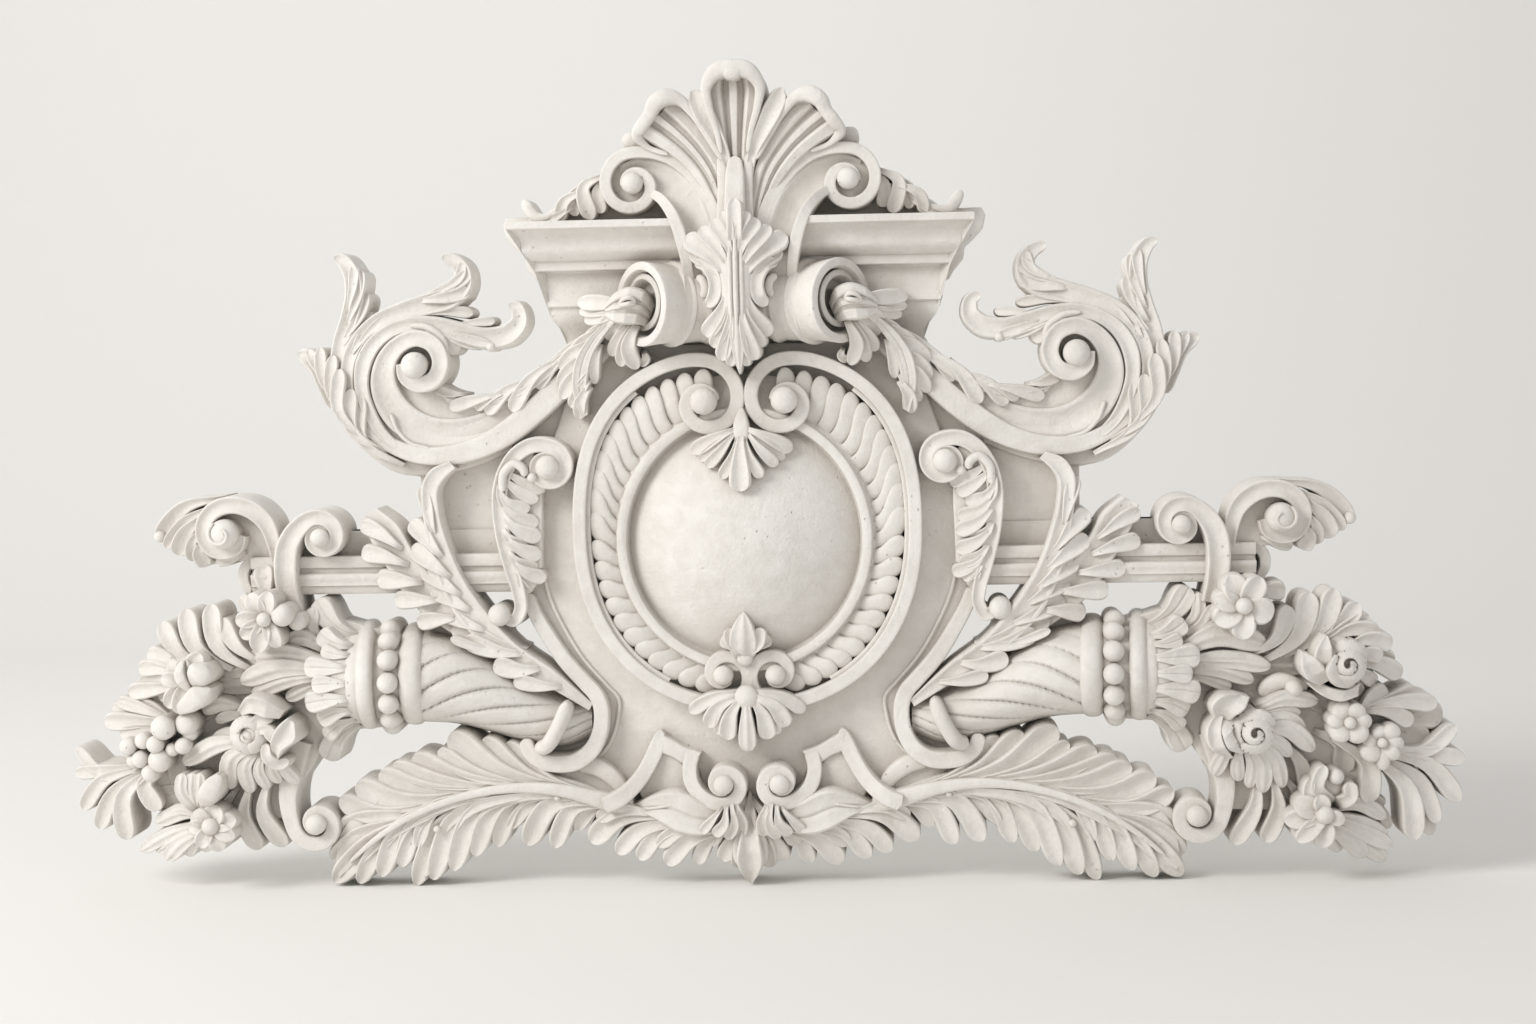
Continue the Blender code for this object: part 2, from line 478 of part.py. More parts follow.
def foot(r):
    """The strapwork, husk and half of the fan at the foot of the shield."""
    r.band([(90, -192, 7, 44), (58, -207, 7, 44), (57, -226, 7, 46), (46, -246, 7, 48)]
           + spiral((29, -236), -30, -400, (20, 9), (6, 4), (52, 52)), FLAT, count=32)
    r.ball(29, -236, 10, 62)
    r.band([(92, -192, 7, 44), (112, -228, 7, 44), (136, -250, 8, 44), (152, -268, 8, 44)], FLAT)
    r.band([(124, -250, 8, 46), (146, -228, 8, 46), (170, -214, 7, 46)], ROUND)
    r.band([(18, -264, 12, 62), (40, -268, 16, 66), (66, -270, 17, 66), (96, -266, 11, 60), (118, -262, 4, 54)], ROUND)
    for x, z in ((10, -330), (24, -326), (46, -296), (58, -322), (88, -324), (94, -304), (118, -318), (140, -311)):
        r.lobe((0.35 * x, -268), (x, z), (0.6, -0.8), 11, (56, 46))


def lowest(r):
    """The middle lobe of the fan and the ground that backs it."""
    r.lobe((0, -262), (-1, -338), (0.0, -1.0), 14, (64, 52))
    r.ball(0, -262, 14, 66)


def plaster():
    """Matt white casting plaster."""
    material = bpy.data.materials.new("plaster")
    material.use_nodes = True
    shader = material.node_tree.nodes["Principled BSDF"]
    shader.inputs["Base Color"].default_value = (0.80, 0.78, 0.75, 1.0)
    shader.inputs["Roughness"].default_value = 0.85
    shader.inputs["Metallic"].default_value = 0.0
    return material


def back_block():
    """A block behind the back plane, which trims the casting flat."""
    mesh = bpy.data.meshes.new("back_block")
    bm = bmesh.new()
    bmesh.ops.create_cube(bm, size=1.0)
    bmesh.ops.scale(bm, vec=(2.0, 0.1, 2.0), verts=bm.verts)
    bmesh.ops.translate(bm, vec=(0.0, 0.05, 0.0), verts=bm.verts)
    bm.to_mesh(mesh)
    bm.free()
    block = bpy.data.objects.new("back_block", mesh)
    block.hide_render = True
    block.display_type = "WIRE"
    bpy.context.scene.collection.objects.link(block)
    return block


def main():
    """Carves the halves, melts them into one casting and trims its back flat."""
    for obj in list(bpy.data.objects):
        bpy.data.objects.remove(obj)
    relief = Relief()
    for build in (grounds, cornice, crest, keystone, cartouche, scroll, bracket, branches, rail, wing, cornucopia,
                  flowers, acanthus, foot):
        both(build, relief)
    for build in (middle_leaf, oval_field, lowest):
        build(relief)
    bmesh.ops.recalc_face_normals(relief.bm, faces=relief.bm.faces)
    mesh = bpy.data.meshes.new("pediment_applique")
    relief.bm.to_mesh(mesh)
    relief.bm.free()
    mesh.materials.append(plaster())
    casting = bpy.data.objects.new("pediment_applique", mesh)
    bpy.context.scene.collection.objects.link(casting)
    melt = casting.modifiers.new("melt", "REMESH")
    melt.mode = "VOXEL"
    melt.voxel_size = VOXEL
    thin = casting.modifiers.new("thin", "DECIMATE")
    thin.ratio = THIN
    trim = casting.modifiers.new("trim", "BOOLEAN")
    trim.operation = "DIFFERENCE"
    trim.object = back_block()


main()
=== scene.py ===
"""Overdoor pediment applique in white casting plaster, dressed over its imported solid.

Places in the carving are millimetres: x to the right and z up in the plane of the flat back, and a
height above that back towards the viewer. The origin is behind the middle of the oval.
"""

import logging
import math
from dataclasses import dataclass, field
from enum import Enum
from typing import Any, Sequence

import bmesh
import bpy
import numpy as np
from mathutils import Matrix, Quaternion, Vector


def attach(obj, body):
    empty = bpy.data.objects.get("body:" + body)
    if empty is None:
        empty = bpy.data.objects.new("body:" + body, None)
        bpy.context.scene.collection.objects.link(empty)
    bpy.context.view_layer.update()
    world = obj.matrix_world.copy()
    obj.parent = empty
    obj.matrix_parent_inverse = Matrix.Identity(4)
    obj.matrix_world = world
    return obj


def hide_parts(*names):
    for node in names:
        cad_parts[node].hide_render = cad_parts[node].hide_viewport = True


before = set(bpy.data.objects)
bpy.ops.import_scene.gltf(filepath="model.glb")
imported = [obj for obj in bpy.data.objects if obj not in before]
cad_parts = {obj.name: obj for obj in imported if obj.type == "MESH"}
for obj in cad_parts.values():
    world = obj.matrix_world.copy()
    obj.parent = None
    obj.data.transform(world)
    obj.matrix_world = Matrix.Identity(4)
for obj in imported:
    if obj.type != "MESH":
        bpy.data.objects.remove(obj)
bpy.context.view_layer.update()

logging.basicConfig(level=logging.INFO, format="%(message)s")
LOG = logging.getLogger("pediment")

MM = 0.001
SHARP = math.radians(38.0)
TINY = 1e-6
SPREAD = 1.6
GOLDEN = 0.618034
BODIES_APART = 101
NODE = "pediment_applique"

Place = tuple[float, float]
Row = tuple[float, ...]


class Section(Enum):
    """Cross-sections of a band: (how far out, how far below its crest), both in half widths."""

    STRAP = ((0, 0.03), (0.5, 0.02), (0.76, 0), (0.88, 0.05), (0.96, 0.2), (1, 0.42))
    CROWNED = ((0, 0), (0.35, 0.03), (0.65, 0.12), (0.84, 0.26), (0.95, 0.46), (1, 0.75))
    PAD = ((0, 0), (0.4, 0.02), (0.7, 0.07), (0.86, 0.15), (0.95, 0.27), (1, 0.5))
    CABLE = ((0, 0), (0.3, 0.05), (0.55, 0.17), (0.76, 0.36), (0.9, 0.6), (1, 1))
    HOLLOW = (
        (0, 0.4), (0.22, 0.37), (0.44, 0.27), (0.6, 0.13), (0.71, 0.03), (0.82, 0), (0.93, 0.07), (1, 0.36),
    )
    SPOON = ((0, 0.3), (0.25, 0.27), (0.5, 0.15), (0.68, 0.03), (0.8, 0), (0.9, 0.07), (0.97, 0.25), (1, 0.5))
    VEINED = (
        (0, 0.2), (0.1, 0.12), (0.24, 0.09), (0.45, 0.11), (0.66, 0.04), (0.8, 0), (0.91, 0.09), (1, 0.5),
    )
    RIDGED = (
        (0, 0), (0.14, 0.03), (0.3, 0.15), (0.5, 0.2), (0.7, 0.16), (0.84, 0.14), (0.93, 0.22), (1, 0.55),
    )
    FLUTED = (
        (0, 0.1), (0.12, 0.12), (0.2, 0.38), (0.32, 0.44), (0.42, 0.16), (0.52, 0.1), (0.74, 0.2),
        (0.9, 0.26), (1, 0.6),
    )
    SHELL = (
        (-1, 1.3), (-0.6, 0.78), (-0.15, 0.38), (0.3, 0.12), (0.62, 0), (0.8, 0.02), (0.93, 0.2), (1, 0.7),
    )
    SLOPE = ((-1, 0.3), (-0.96, 0.1), (-0.9, 0), (-0.5, 0), (0, 0.04), (0.5, 0.02), (0.9, 0.04), (1, 0.3))

    def profile(self) -> np.ndarray:
        """The whole section from its left edge to its right, mirrored about its middle where it is half."""
        given = np.array(self.value)
        return given if given[0, 0] < 0 else np.concatenate([given[::-1] * (-1.0, 1.0), given[1:]])


class Shape(Enum):
    """Outlines of a lobe between its base and its tip."""

    FINGER = "a leaf finger that swells and ends round"
    CLUB = "a long finger, narrow at its base, with a broad round end"
    TONGUE = "even sides and a round end"
    SPEAR = "a blade that tapers to a point"
    PETAL = "a round petal on a narrow claw"
    SCALLOP = "nearly even sides and a broad round end"

    def widths(self, along: np.ndarray) -> np.ndarray:
        """Half widths along a lobe whose greatest half width is one.

        Args:
            along: shares of the length.

        Returns:
            The half width at each.
        """
        if self is Shape.SPEAR:
            return np.sin(math.pi * np.clip(0.12 + 0.88 * along, 0.0, 1.0) ** 0.85) ** 0.8
        if self is Shape.PETAL:
            return np.sqrt(np.clip(1.0 - (2.0 * (0.08 + 0.92 * along) ** 1.35 - 1.0) ** 2, 0.0, 1.0))
        start = {Shape.FINGER: 0.72, Shape.CLUB: 0.84, Shape.TONGUE: 0.8, Shape.SCALLOP: 0.68}[self]
        end = np.sqrt(1.0 - np.clip((along - start) / (1.0 - start), 0.0, 1.0) ** 2)
        if self is Shape.TONGUE:
            return end
        base, full = {Shape.FINGER: (0.5, 0.62), Shape.CLUB: (0.3, 0.8), Shape.SCALLOP: (0.78, 0.7)}[self]
        rise = np.clip(along / full, 0.0, 1.0)
        return (base + (1.0 - base) * rise * rise * (3.0 - 2.0 * rise)) * end


def smooth_path(points: Sequence[Row], count: int) -> np.ndarray:
    """Rows of numbers read at even steps along a smooth curve.

    Args:
        points: rows that start with x and z; the other columns go along with them.
        count: how many rows are read.

    Returns:
        An array of count rows.
    """
    rows = np.array(points, float)
    chord = np.hypot(*np.diff(rows[:, :2], axis=0).T)
    knots = np.concatenate([[0.0], np.cumsum(chord)])
    slopes = np.gradient(rows, knots, axis=0)
    at = np.linspace(0.0, knots[-1], count)
    low = np.clip(np.searchsorted(knots, at, side="right") - 1, 0, len(knots) - 2)
    span = (knots[low + 1] - knots[low])[:, None]
    t = (at - knots[low])[:, None] / span
    first = (2 * t**3 - 3 * t**2 + 1) * rows[low] + (t**3 - 2 * t**2 + t) * span * slopes[low]
    return first + (3 * t**2 - 2 * t**3) * rows[low + 1] + (t**3 - t**2) * span * slopes[low + 1]


def volute(
    centre: Place, start: float, turn: float, radii: Place, widths: Place, heights: Place, draw: float = 1.25
) -> list[Row]:
    """Rows (x, z, half width, height) of a volute from its outside to its eye.

    Args:
        centre: middle of the eye.
        start: angle of the first row, in degrees from +X.
        turn: degrees wound, positive against the clock.
        radii: distance from the centre at the outside and at the eye.
        widths: half width of the band at the outside and at the eye.
        heights: height of the band at the outside and at the eye.
        draw: how fast it closes at first; 1 is even.

    Returns:
        The rows, one for every 20 degrees.
    """
    steps = max(4, round(abs(turn) / 20))
    rows: list[Row] = []
    for k in range(steps + 1):
        share = k / steps
        angle = math.radians(start + turn * share)
        radius = radii[1] + (radii[0] - radii[1]) * (1.0 - share) ** draw
        x, z = centre[0] + radius * math.cos(angle), centre[1] + radius * math.sin(angle)
        wide = widths[0] + (widths[1] - widths[0]) * share
        rows.append((x, z, wide, heights[0] + (heights[1] - heights[0]) * share))
    return rows


def arch(base: Place, tip: Place, along: Place, bend: float) -> list[Place]:
    """Places on a curve from base to tip.

    Args:
        base: where it starts.
        tip: where it ends.
        along: its direction where it starts.
        bend: how far it keeps that direction, as a share of its length.

    Returns:
        Seven places.
    """
    start, end = np.array(base, float), np.array(tip, float)
    middle = start + np.array(along, float) * bend * np.hypot(*(end - start))
    s = np.linspace(0.0, 1.0, 7)[:, None]
    return [tuple(place) for place in (1 - s) ** 2 * start + 2 * s * (1 - s) * middle + s * s * end]


def ogee(start: Place, end: Place, hollow_first: bool, count: int) -> list[Place]:
    """An S-shaped stretch of a moulding's profile.

    Args:
        start: (z, height) where it starts.
        end: (z, height) where it ends.
        hollow_first: whether it starts with its hollow.
        count: how many places are given.

    Returns:
        The places from start to end.
    """
    places = []
    for k in range(count):
        share = k / (count - 1)
        swing = math.sin(math.tau * share) / math.tau
        lift = share - swing if hollow_first else share + swing
        places.append((start[0] + (end[0] - start[0]) * share, start[1] + (end[1] - start[1]) * lift))
    return places


class Carver:
    """Carving gathered in one mesh, with side 1 for the right half and -1 for its mirror image."""

    blanks: dict[tuple[int, int], tuple[bpy.types.Mesh, np.ndarray, np.ndarray]] = {}

    def __init__(self, seed: int) -> None:
        """Starts an empty mesh.

        Args:
            seed: number from which the small unevenness of hand work is drawn.
        """
        self.bm = bmesh.new()
        self.side = 1.0
        self.hand = np.random.default_rng(seed)
        self.bodies = (seed - 1) * BODIES_APART

    def back(self) -> float:
        """Height of the next body's back, as backs in one plane would shade each other."""
        self.bodies += 1
        return SPREAD * ((self.bodies - 1) * GOLDEN % 1.0)

    def blank(self, around: int, count: int) -> tuple[bpy.types.Mesh, np.ndarray, np.ndarray]:
        """A ball with the rows and columns that a sweep needs.

        Args:
            around: vertices in a row.
            count: rows between the poles.

        Returns:
            The ball's mesh, and the row and the column of each of its vertices.
        """
        if (around, count) not in self.blanks:
            ball = bmesh.new()
            bmesh.ops.create_uvsphere(ball, u_segments=around, v_segments=count + 1, radius=1.0)
            places = np.array([vert.co for vert in ball.verts])
            mesh = bpy.data.meshes.new("blank")
            ball.to_mesh(mesh)
            ball.free()
            rows = np.rint(np.arccos(np.clip(places[:, 2], -1.0, 1.0)) / math.pi * (count + 1)).astype(int)
            columns = np.rint(np.arctan2(places[:, 1], places[:, 0]) / math.tau * around).astype(int) % around
            self.blanks[around, count] = (mesh, rows, columns)
        return self.blanks[around, count]

    def sweep(self, rings: np.ndarray) -> None:
        """Adds a closed body: a ball whose rows of vertices are moved onto rings.

        Args:
            rings: (x, z, height) of each vertex of each ring.
        """
        mesh, rows, columns = self.blank(rings.shape[1], rings.shape[0])
        rings[..., 2] = np.maximum(rings[..., 2], self.back())
        ends = np.repeat(rings[[0, -1]].mean(axis=1, keepdims=True), rings.shape[1], axis=1)
        places = np.concatenate([ends[:1], rings, ends[1:]])[rows, columns]
        spots = np.stack([self.side * places[:, 0], -places[:, 2], places[:, 1]], axis=1) * MM
        mesh.vertices.foreach_set("co", spots.astype(np.float32).ravel())
        self.bm.from_mesh(mesh)

    def band(
        self,
        points: Sequence[Row],
        section: Section,
        count: int,
        draft: float = 1.06,
        ends: Place = (0.0, 0.0),
        depth: float = 1.0,
    ) -> None:
        """Adds a band that stands on the back.

        Args:
            points: rows of (x, z, half width, height) along its middle.
            section: its cross-section.
            count: rings along it.
            draft: width of its foot against its top.
            ends: lengths over which its start and its end are rounded.
            depth: how deep the section is cut.
        """
        rows = smooth_path(points, count)
        step = np.gradient(rows[:, :2], axis=0)
        length = np.hypot(step[:, 0], step[:, 1])
        out = np.stack([-step[:, 1], step[:, 0]], axis=1) / np.maximum(length, TINY)[:, None]
        gone = np.cumsum(length) - length[0]
        wide = np.maximum(rows[:, 2], 0.35)
        for end, left in zip(ends, (gone, gone[-1] - gone)):
            if end > 0.0:
                wide = wide * np.sqrt(1.0 - np.clip(1.0 - left / end, 0.0, 0.999) ** 2)
        self.loft(rows[:, :2], out * wide[:, None], rows[:, 3], section, 0.0, draft, depth)

    def loft(
        self,
        middle: np.ndarray,
        half: np.ndarray,
        height: np.ndarray,
        section: Section,
        tilt: float = 0.0,
        draft: float = 1.04,
        depth: float = 1.0,
    ) -> None:
        """Adds a body with a section across it and walls down to the back.

        Args:
            middle: places along its middle.
            half: from each of them to the left edge.
            height: height of its crest at each of them.
            section: its cross-section.
            tilt: how much its left edge rises, as a share of the half width.
            draft: width of its foot against its top.
            depth: how deep the section is cut.
        """
        across, drop = section.profile().T
        wide = np.maximum(np.hypot(half[:, 0], half[:, 1]), 0.3)[:, None]
        reach = np.concatenate([[-draft], across, [draft]])
        spots = middle[:, None, :] + half[:, None, :] * reach[None, :, None]
        tops = np.maximum(height[:, None] - (drop * depth - tilt * across) * wide, 1.0)
        heights = np.concatenate([np.zeros_like(wide), tops, np.zeros_like(wide)], axis=1)
        self.sweep(np.dstack([spots, heights]))

    def blade(
        self,
        left: Sequence[Place],
        right: Sequence[Place],
        heights: Sequence[float],
        section: Section = Section.SPOON,
        tilt: float = 0.0,
        count: int = 30,
        depth: float = 1.0,
    ) -> None:
        """Adds a leaf or petal between two edges.

        Args:
            left: places along its left edge, from base to tip.
            right: places along its right edge, from base to tip.
            heights: heights of its crest at even steps from base to tip.
            section: its cross-section.
            tilt: how much its left edge rises, as a share of the half width.
            count: rings along it.
            depth: how deep the section is cut.
        """
        first, second = smooth_path(left, count), smooth_path(right, count)
        steps = np.linspace(0.0, 1.0, len(heights))
        height = np.interp(np.linspace(0.0, 1.0, count), steps, heights)
        self.loft((first + second) / 2, (first - second) / 2, height, section, tilt, 1.04, depth)

    def lobe(
        self,
        path: Sequence[Place],
        width: float,
        heights: Place,
        section: Section = Section.SPOON,
        shape: Shape = Shape.FINGER,
        crown: float = 2.0,
        tilt: float = 0.0,
        sink: float = 7.0,
    ) -> None:
        """Adds one lobe of a leaf or one petal.

        Args:
            path: places along its middle, from base to tip.
            width: its greatest half width.
            heights: its height at the base and at the tip.
            section: its cross-section.
            shape: its outline.
            crown: how much its middle stands above the line from base to tip.
            tilt: how much its left edge rises, as a share of the half width.
            sink: how far its base dips under what it grows from.
        """
        width = width * (1.0 + self.hand.normal(0.0, 0.03))
        lift = self.hand.normal(0.0, 0.4)
        tip = 0.7 + 0.3 * np.sin(np.linspace(0.0, math.pi / 2, 9))
        s = np.concatenate([np.linspace(0.0, 0.7, 9)[:-1], tip])
        fine = smooth_path(path, 61)
        line = np.stack([np.interp(s, np.linspace(0.0, 1.0, 61), fine[:, k]) for k in (0, 1)], axis=1)
        step = np.gradient(line, axis=0)
        out = np.stack([-step[:, 1], step[:, 0]], axis=1) / np.maximum(np.hypot(*step.T), TINY)[:, None]
        wide = width * shape.widths(s)
        dip = sink * np.clip(1.0 - s / 0.22, 0.0, 1.0) ** 2
        nose = 0.35 * width * (1.0 - np.clip(shape.widths(s), 0.0, 1.0)) * (s > 0.6)
        height = heights[0] + (heights[1] - heights[0]) * s + crown * np.sin(math.pi * s) - dip - nose + lift
        self.loft(line, out * wide[:, None], height, section, tilt)

    def fingers(
        self,
        table: Sequence[Row],
        section: Section = Section.SPOON,
        shape: Shape = Shape.FINGER,
        tilt: float = 0.0,
    ) -> None:
        """Adds lobes from a table.

        Args:
            table: (x, z) of the base, the middle and the tip, half width, and heights of base and tip.
            section: cross-section of a lobe.
            shape: outline of a lobe.
            tilt: how much a lobe's left edge rises, as a share of the half width.
        """
        for x0, z0, x1, z1, x2, z2, wide, low, high in table:
            self.lobe(((x0, z0), (x1, z1), (x2, z2)), wide, (low, high), section, shape, tilt=tilt)

    def ball(self, x: float, z: float, radius: float, height: float, squash: float = 1.0) -> None:
        """Adds a bead on a stalk down to the back.

        Args:
            x: its middle.
            z: its middle.
            radius: its radius.
            height: height of its crown.
            squash: how deep it is, as a share of its radius.
        """
        rings = []
        steps = 12
        for k in range(1, steps + 1):
            angle = k * math.pi / (2 * steps)
            level = height - radius * squash * (1.0 - math.cos(angle))
            rings.append(self.ring((x, z), radius * math.sin(angle), radius * math.sin(angle), level))
        rings.append(self.ring((x, z), radius * 0.92, radius * 0.92, 0.0))
        self.sweep(np.array(rings))

    def eye(self, x: float, z: float, radius: float, height: float) -> None:
        """Adds a volute's eye: a broad low button."""
        self.ball(x, z, radius, height, 0.8)

    def ring(self, centre: Place, wide: float, high: float, level: float, count: int = 24) -> list[Row]:
        """Places around an ellipse at one height.

        Args:
            centre: its middle.
            wide: half its width.
            high: half its height.
            level: height off the back.
            count: how many places are given.

        Returns:
            The places.
        """
        angles = np.arange(count) * math.tau / count
        xs, zs = centre[0] + wide * np.cos(angles), centre[1] + high * np.sin(angles)
        return list(zip(xs, zs, [level] * count))

    def drum(self, face: Row, turn: float, stack: Sequence[Place], count: int = 56) -> None:
        """Adds a drum that points out of the relief and to the side.

        Args:
            face: (x, z, height) of the middle of its face.
            turn: degrees by which its axis leans from the viewer towards +X.
            stack: (distance behind the face, radius) of each ring, from the back into its mouth.
            count: vertices in a ring.
        """
        c, s = math.cos(math.radians(turn)), math.sin(math.radians(turn))
        angles = np.arange(count) * math.tau / count
        rings = []
        for behind, radius in stack:
            across, up = radius * np.cos(angles), radius * np.sin(angles)
            rings.append(np.stack([face[0] - s * behind + c * across, face[1] + up,
                         np.maximum(face[2] - c * behind - s * across, 0.0)], axis=1))
        self.sweep(np.array(rings))

    def slab(self, outline: Sequence[Place], height: float, edge: float = 1.8) -> None:
        """Adds a flat ground: an outline extruded off the back, with its front edge rounded.

        Args:
            outline: places along its edge.
            height: height of its face.
            edge: radius of its front edge.
        """
        work = bmesh.new()
        back = self.back()
        verts = [work.verts.new((self.side * x * MM, -back * MM, z * MM)) for x, z in outline]
        face = work.faces.new(verts)
        raised = bmesh.ops.extrude_face_region(work, geom=[face])["geom"]
        moved = [item for item in raised if isinstance(item, bmesh.types.BMVert)]
        rim = [item for item in raised if isinstance(item, bmesh.types.BMEdge)]
        bmesh.ops.translate(work, verts=moved, vec=(0.0, (back - height) * MM, 0.0))
        bmesh.ops.bevel(work, geom=rim, offset=edge * MM, affect="EDGES", segments=3, profile=0.5, material=-1)
        mesh = bpy.data.meshes.new("slab")
        work.to_mesh(mesh)
        work.free()
        self.bm.from_mesh(mesh)
        bpy.data.meshes.remove(mesh)

    def moulding(self, start: float, profile: Sequence[Place], end: Sequence[float]) -> None:
        """Adds a moulding along X.

        Args:
            start: x where it starts.
            profile: (z, height) places of its section.
            end: x where it ends, for each of them.
        """
        places = [(profile[0][0], 0.0)] + list(profile) + [(profile[-1][0], 0.0)]
        stops = [end[0]] + list(end) + [end[-1]]
        rings = []
        for share in (0.0, 0.25, 0.5, 0.75, 0.97, 1.0):
            rings.append([(start + (stop - start) * share, z, h) for (z, h), stop in zip(places, stops)])
        self.sweep(np.array(rings))

    def piece(self, name: str) -> bpy.types.Object:
        """Makes the carving an object in the scene, with its faces outwards and its edges kept crisp.

        Args:
            name: the object's name.

        Returns:
            The object.
        """
        bmesh.ops.recalc_face_normals(self.bm, faces=self.bm.faces)
        mesh = bpy.data.meshes.new(name)
        self.bm.to_mesh(mesh)
        self.bm.free()
        mesh.shade_smooth()
        mesh.set_sharp_from_angle(angle=SHARP)
        made = bpy.data.objects.new(name, mesh)
        bpy.context.scene.collection.objects.link(made)
        return made


class Link:
    """A node's output in an expression: arithmetic on it adds Math nodes."""

    def __init__(self, tree: bpy.types.NodeTree, socket: bpy.types.NodeSocket) -> None:
        """Wraps one output socket of a node tree."""
        self.tree = tree
        self.socket = socket

    def maths(self, operation: str, first: Any, second: Any) -> "Link":
        """Adds a Math node.

        Args:
            operation: what it works out.
            first: a link or a number.
            second: a link or a number.

        Returns:
            Its output.
        """
        made = self.tree.nodes.new("ShaderNodeMath")
        made.operation = operation
        for socket, value in zip(made.inputs, (first, second)):
            plug(self.tree, socket, value)
        return Link(self.tree, made.outputs[0])

    def __add__(self, other: Any) -> "Link":
        """Sum."""
        return self.maths("ADD", self, other)

    def __radd__(self, other: Any) -> "Link":
        """Sum with the number first."""
        return self.maths("ADD", other, self)

    def __sub__(self, other: Any) -> "Link":
        """Difference."""
        return self.maths("SUBTRACT", self, other)

    def __rsub__(self, other: Any) -> "Link":
        """Difference with the number first."""
        return self.maths("SUBTRACT", other, self)

    def __mul__(self, other: Any) -> "Link":
        """Product."""
        return self.maths("MULTIPLY", self, other)

    def __rmul__(self, other: Any) -> "Link":
        """Product with the number first."""
        return self.maths("MULTIPLY", other, self)


def plug(tree: bpy.types.NodeTree, socket: bpy.types.NodeSocket, value: Any) -> None:
    """Gives an input socket its value.

    Args:
        tree: the node tree.
        socket: the input socket.
        value: a link, a number or a colour.
    """
    if isinstance(value, Link):
        tree.links.new(value.socket, socket)
    else:
        socket.default_value = value


class Nodes:
    """A material's node tree, to which nodes are added by one method."""

    def __init__(self, material: bpy.types.Material) -> None:
        """Takes the material's tree and its Principled BSDF.

        Args:
            material: the material.
        """
        material.use_nodes = True
        self.tree = material.node_tree
        self.shader = self.tree.nodes["Principled BSDF"]

    def add(self, kind: str, settings: dict[str, Any], values: dict[str, Any], output: str = "") -> Link:
        """Adds a node.

        Args:
            kind: its type.
            settings: its own settings; a ramp's stops are under "stops".
            values: a number, colour or link for each input socket that is set.
            output: the output's name, or nothing for the first.

        Returns:
            The output that the expression goes on from.
        """
        made = self.tree.nodes.new(kind)
        for name, value in settings.items():
            if name == "stops":
                self.stops(made, value)
            else:
                setattr(made, name, value)
        for name, value in values.items():
            plug(self.tree, made.inputs[name], value)
        return Link(self.tree, made.outputs[output] if output else made.outputs[0])

    def stops(self, ramp: bpy.types.Node, stops: Sequence[tuple[float, float]]) -> None:
        """Sets a ramp's stops.

        Args:
            ramp: the ramp's node.
            stops: position and grey value of each stop.
        """
        elements = ramp.color_ramp.elements
        while len(elements) > len(stops):
            elements.remove(elements[-1])
        while len(elements) < len(stops):
            elements.new(1.0)
        for element, (position, grey) in zip(elements, stops):
            element.position = position
            element.color = (grey, grey, grey, 1.0)

    def feed(self, name: str, value: Link) -> None:
        """Links a value to a socket of the shader."""
        self.tree.links.new(value.socket, self.shader.inputs[name])


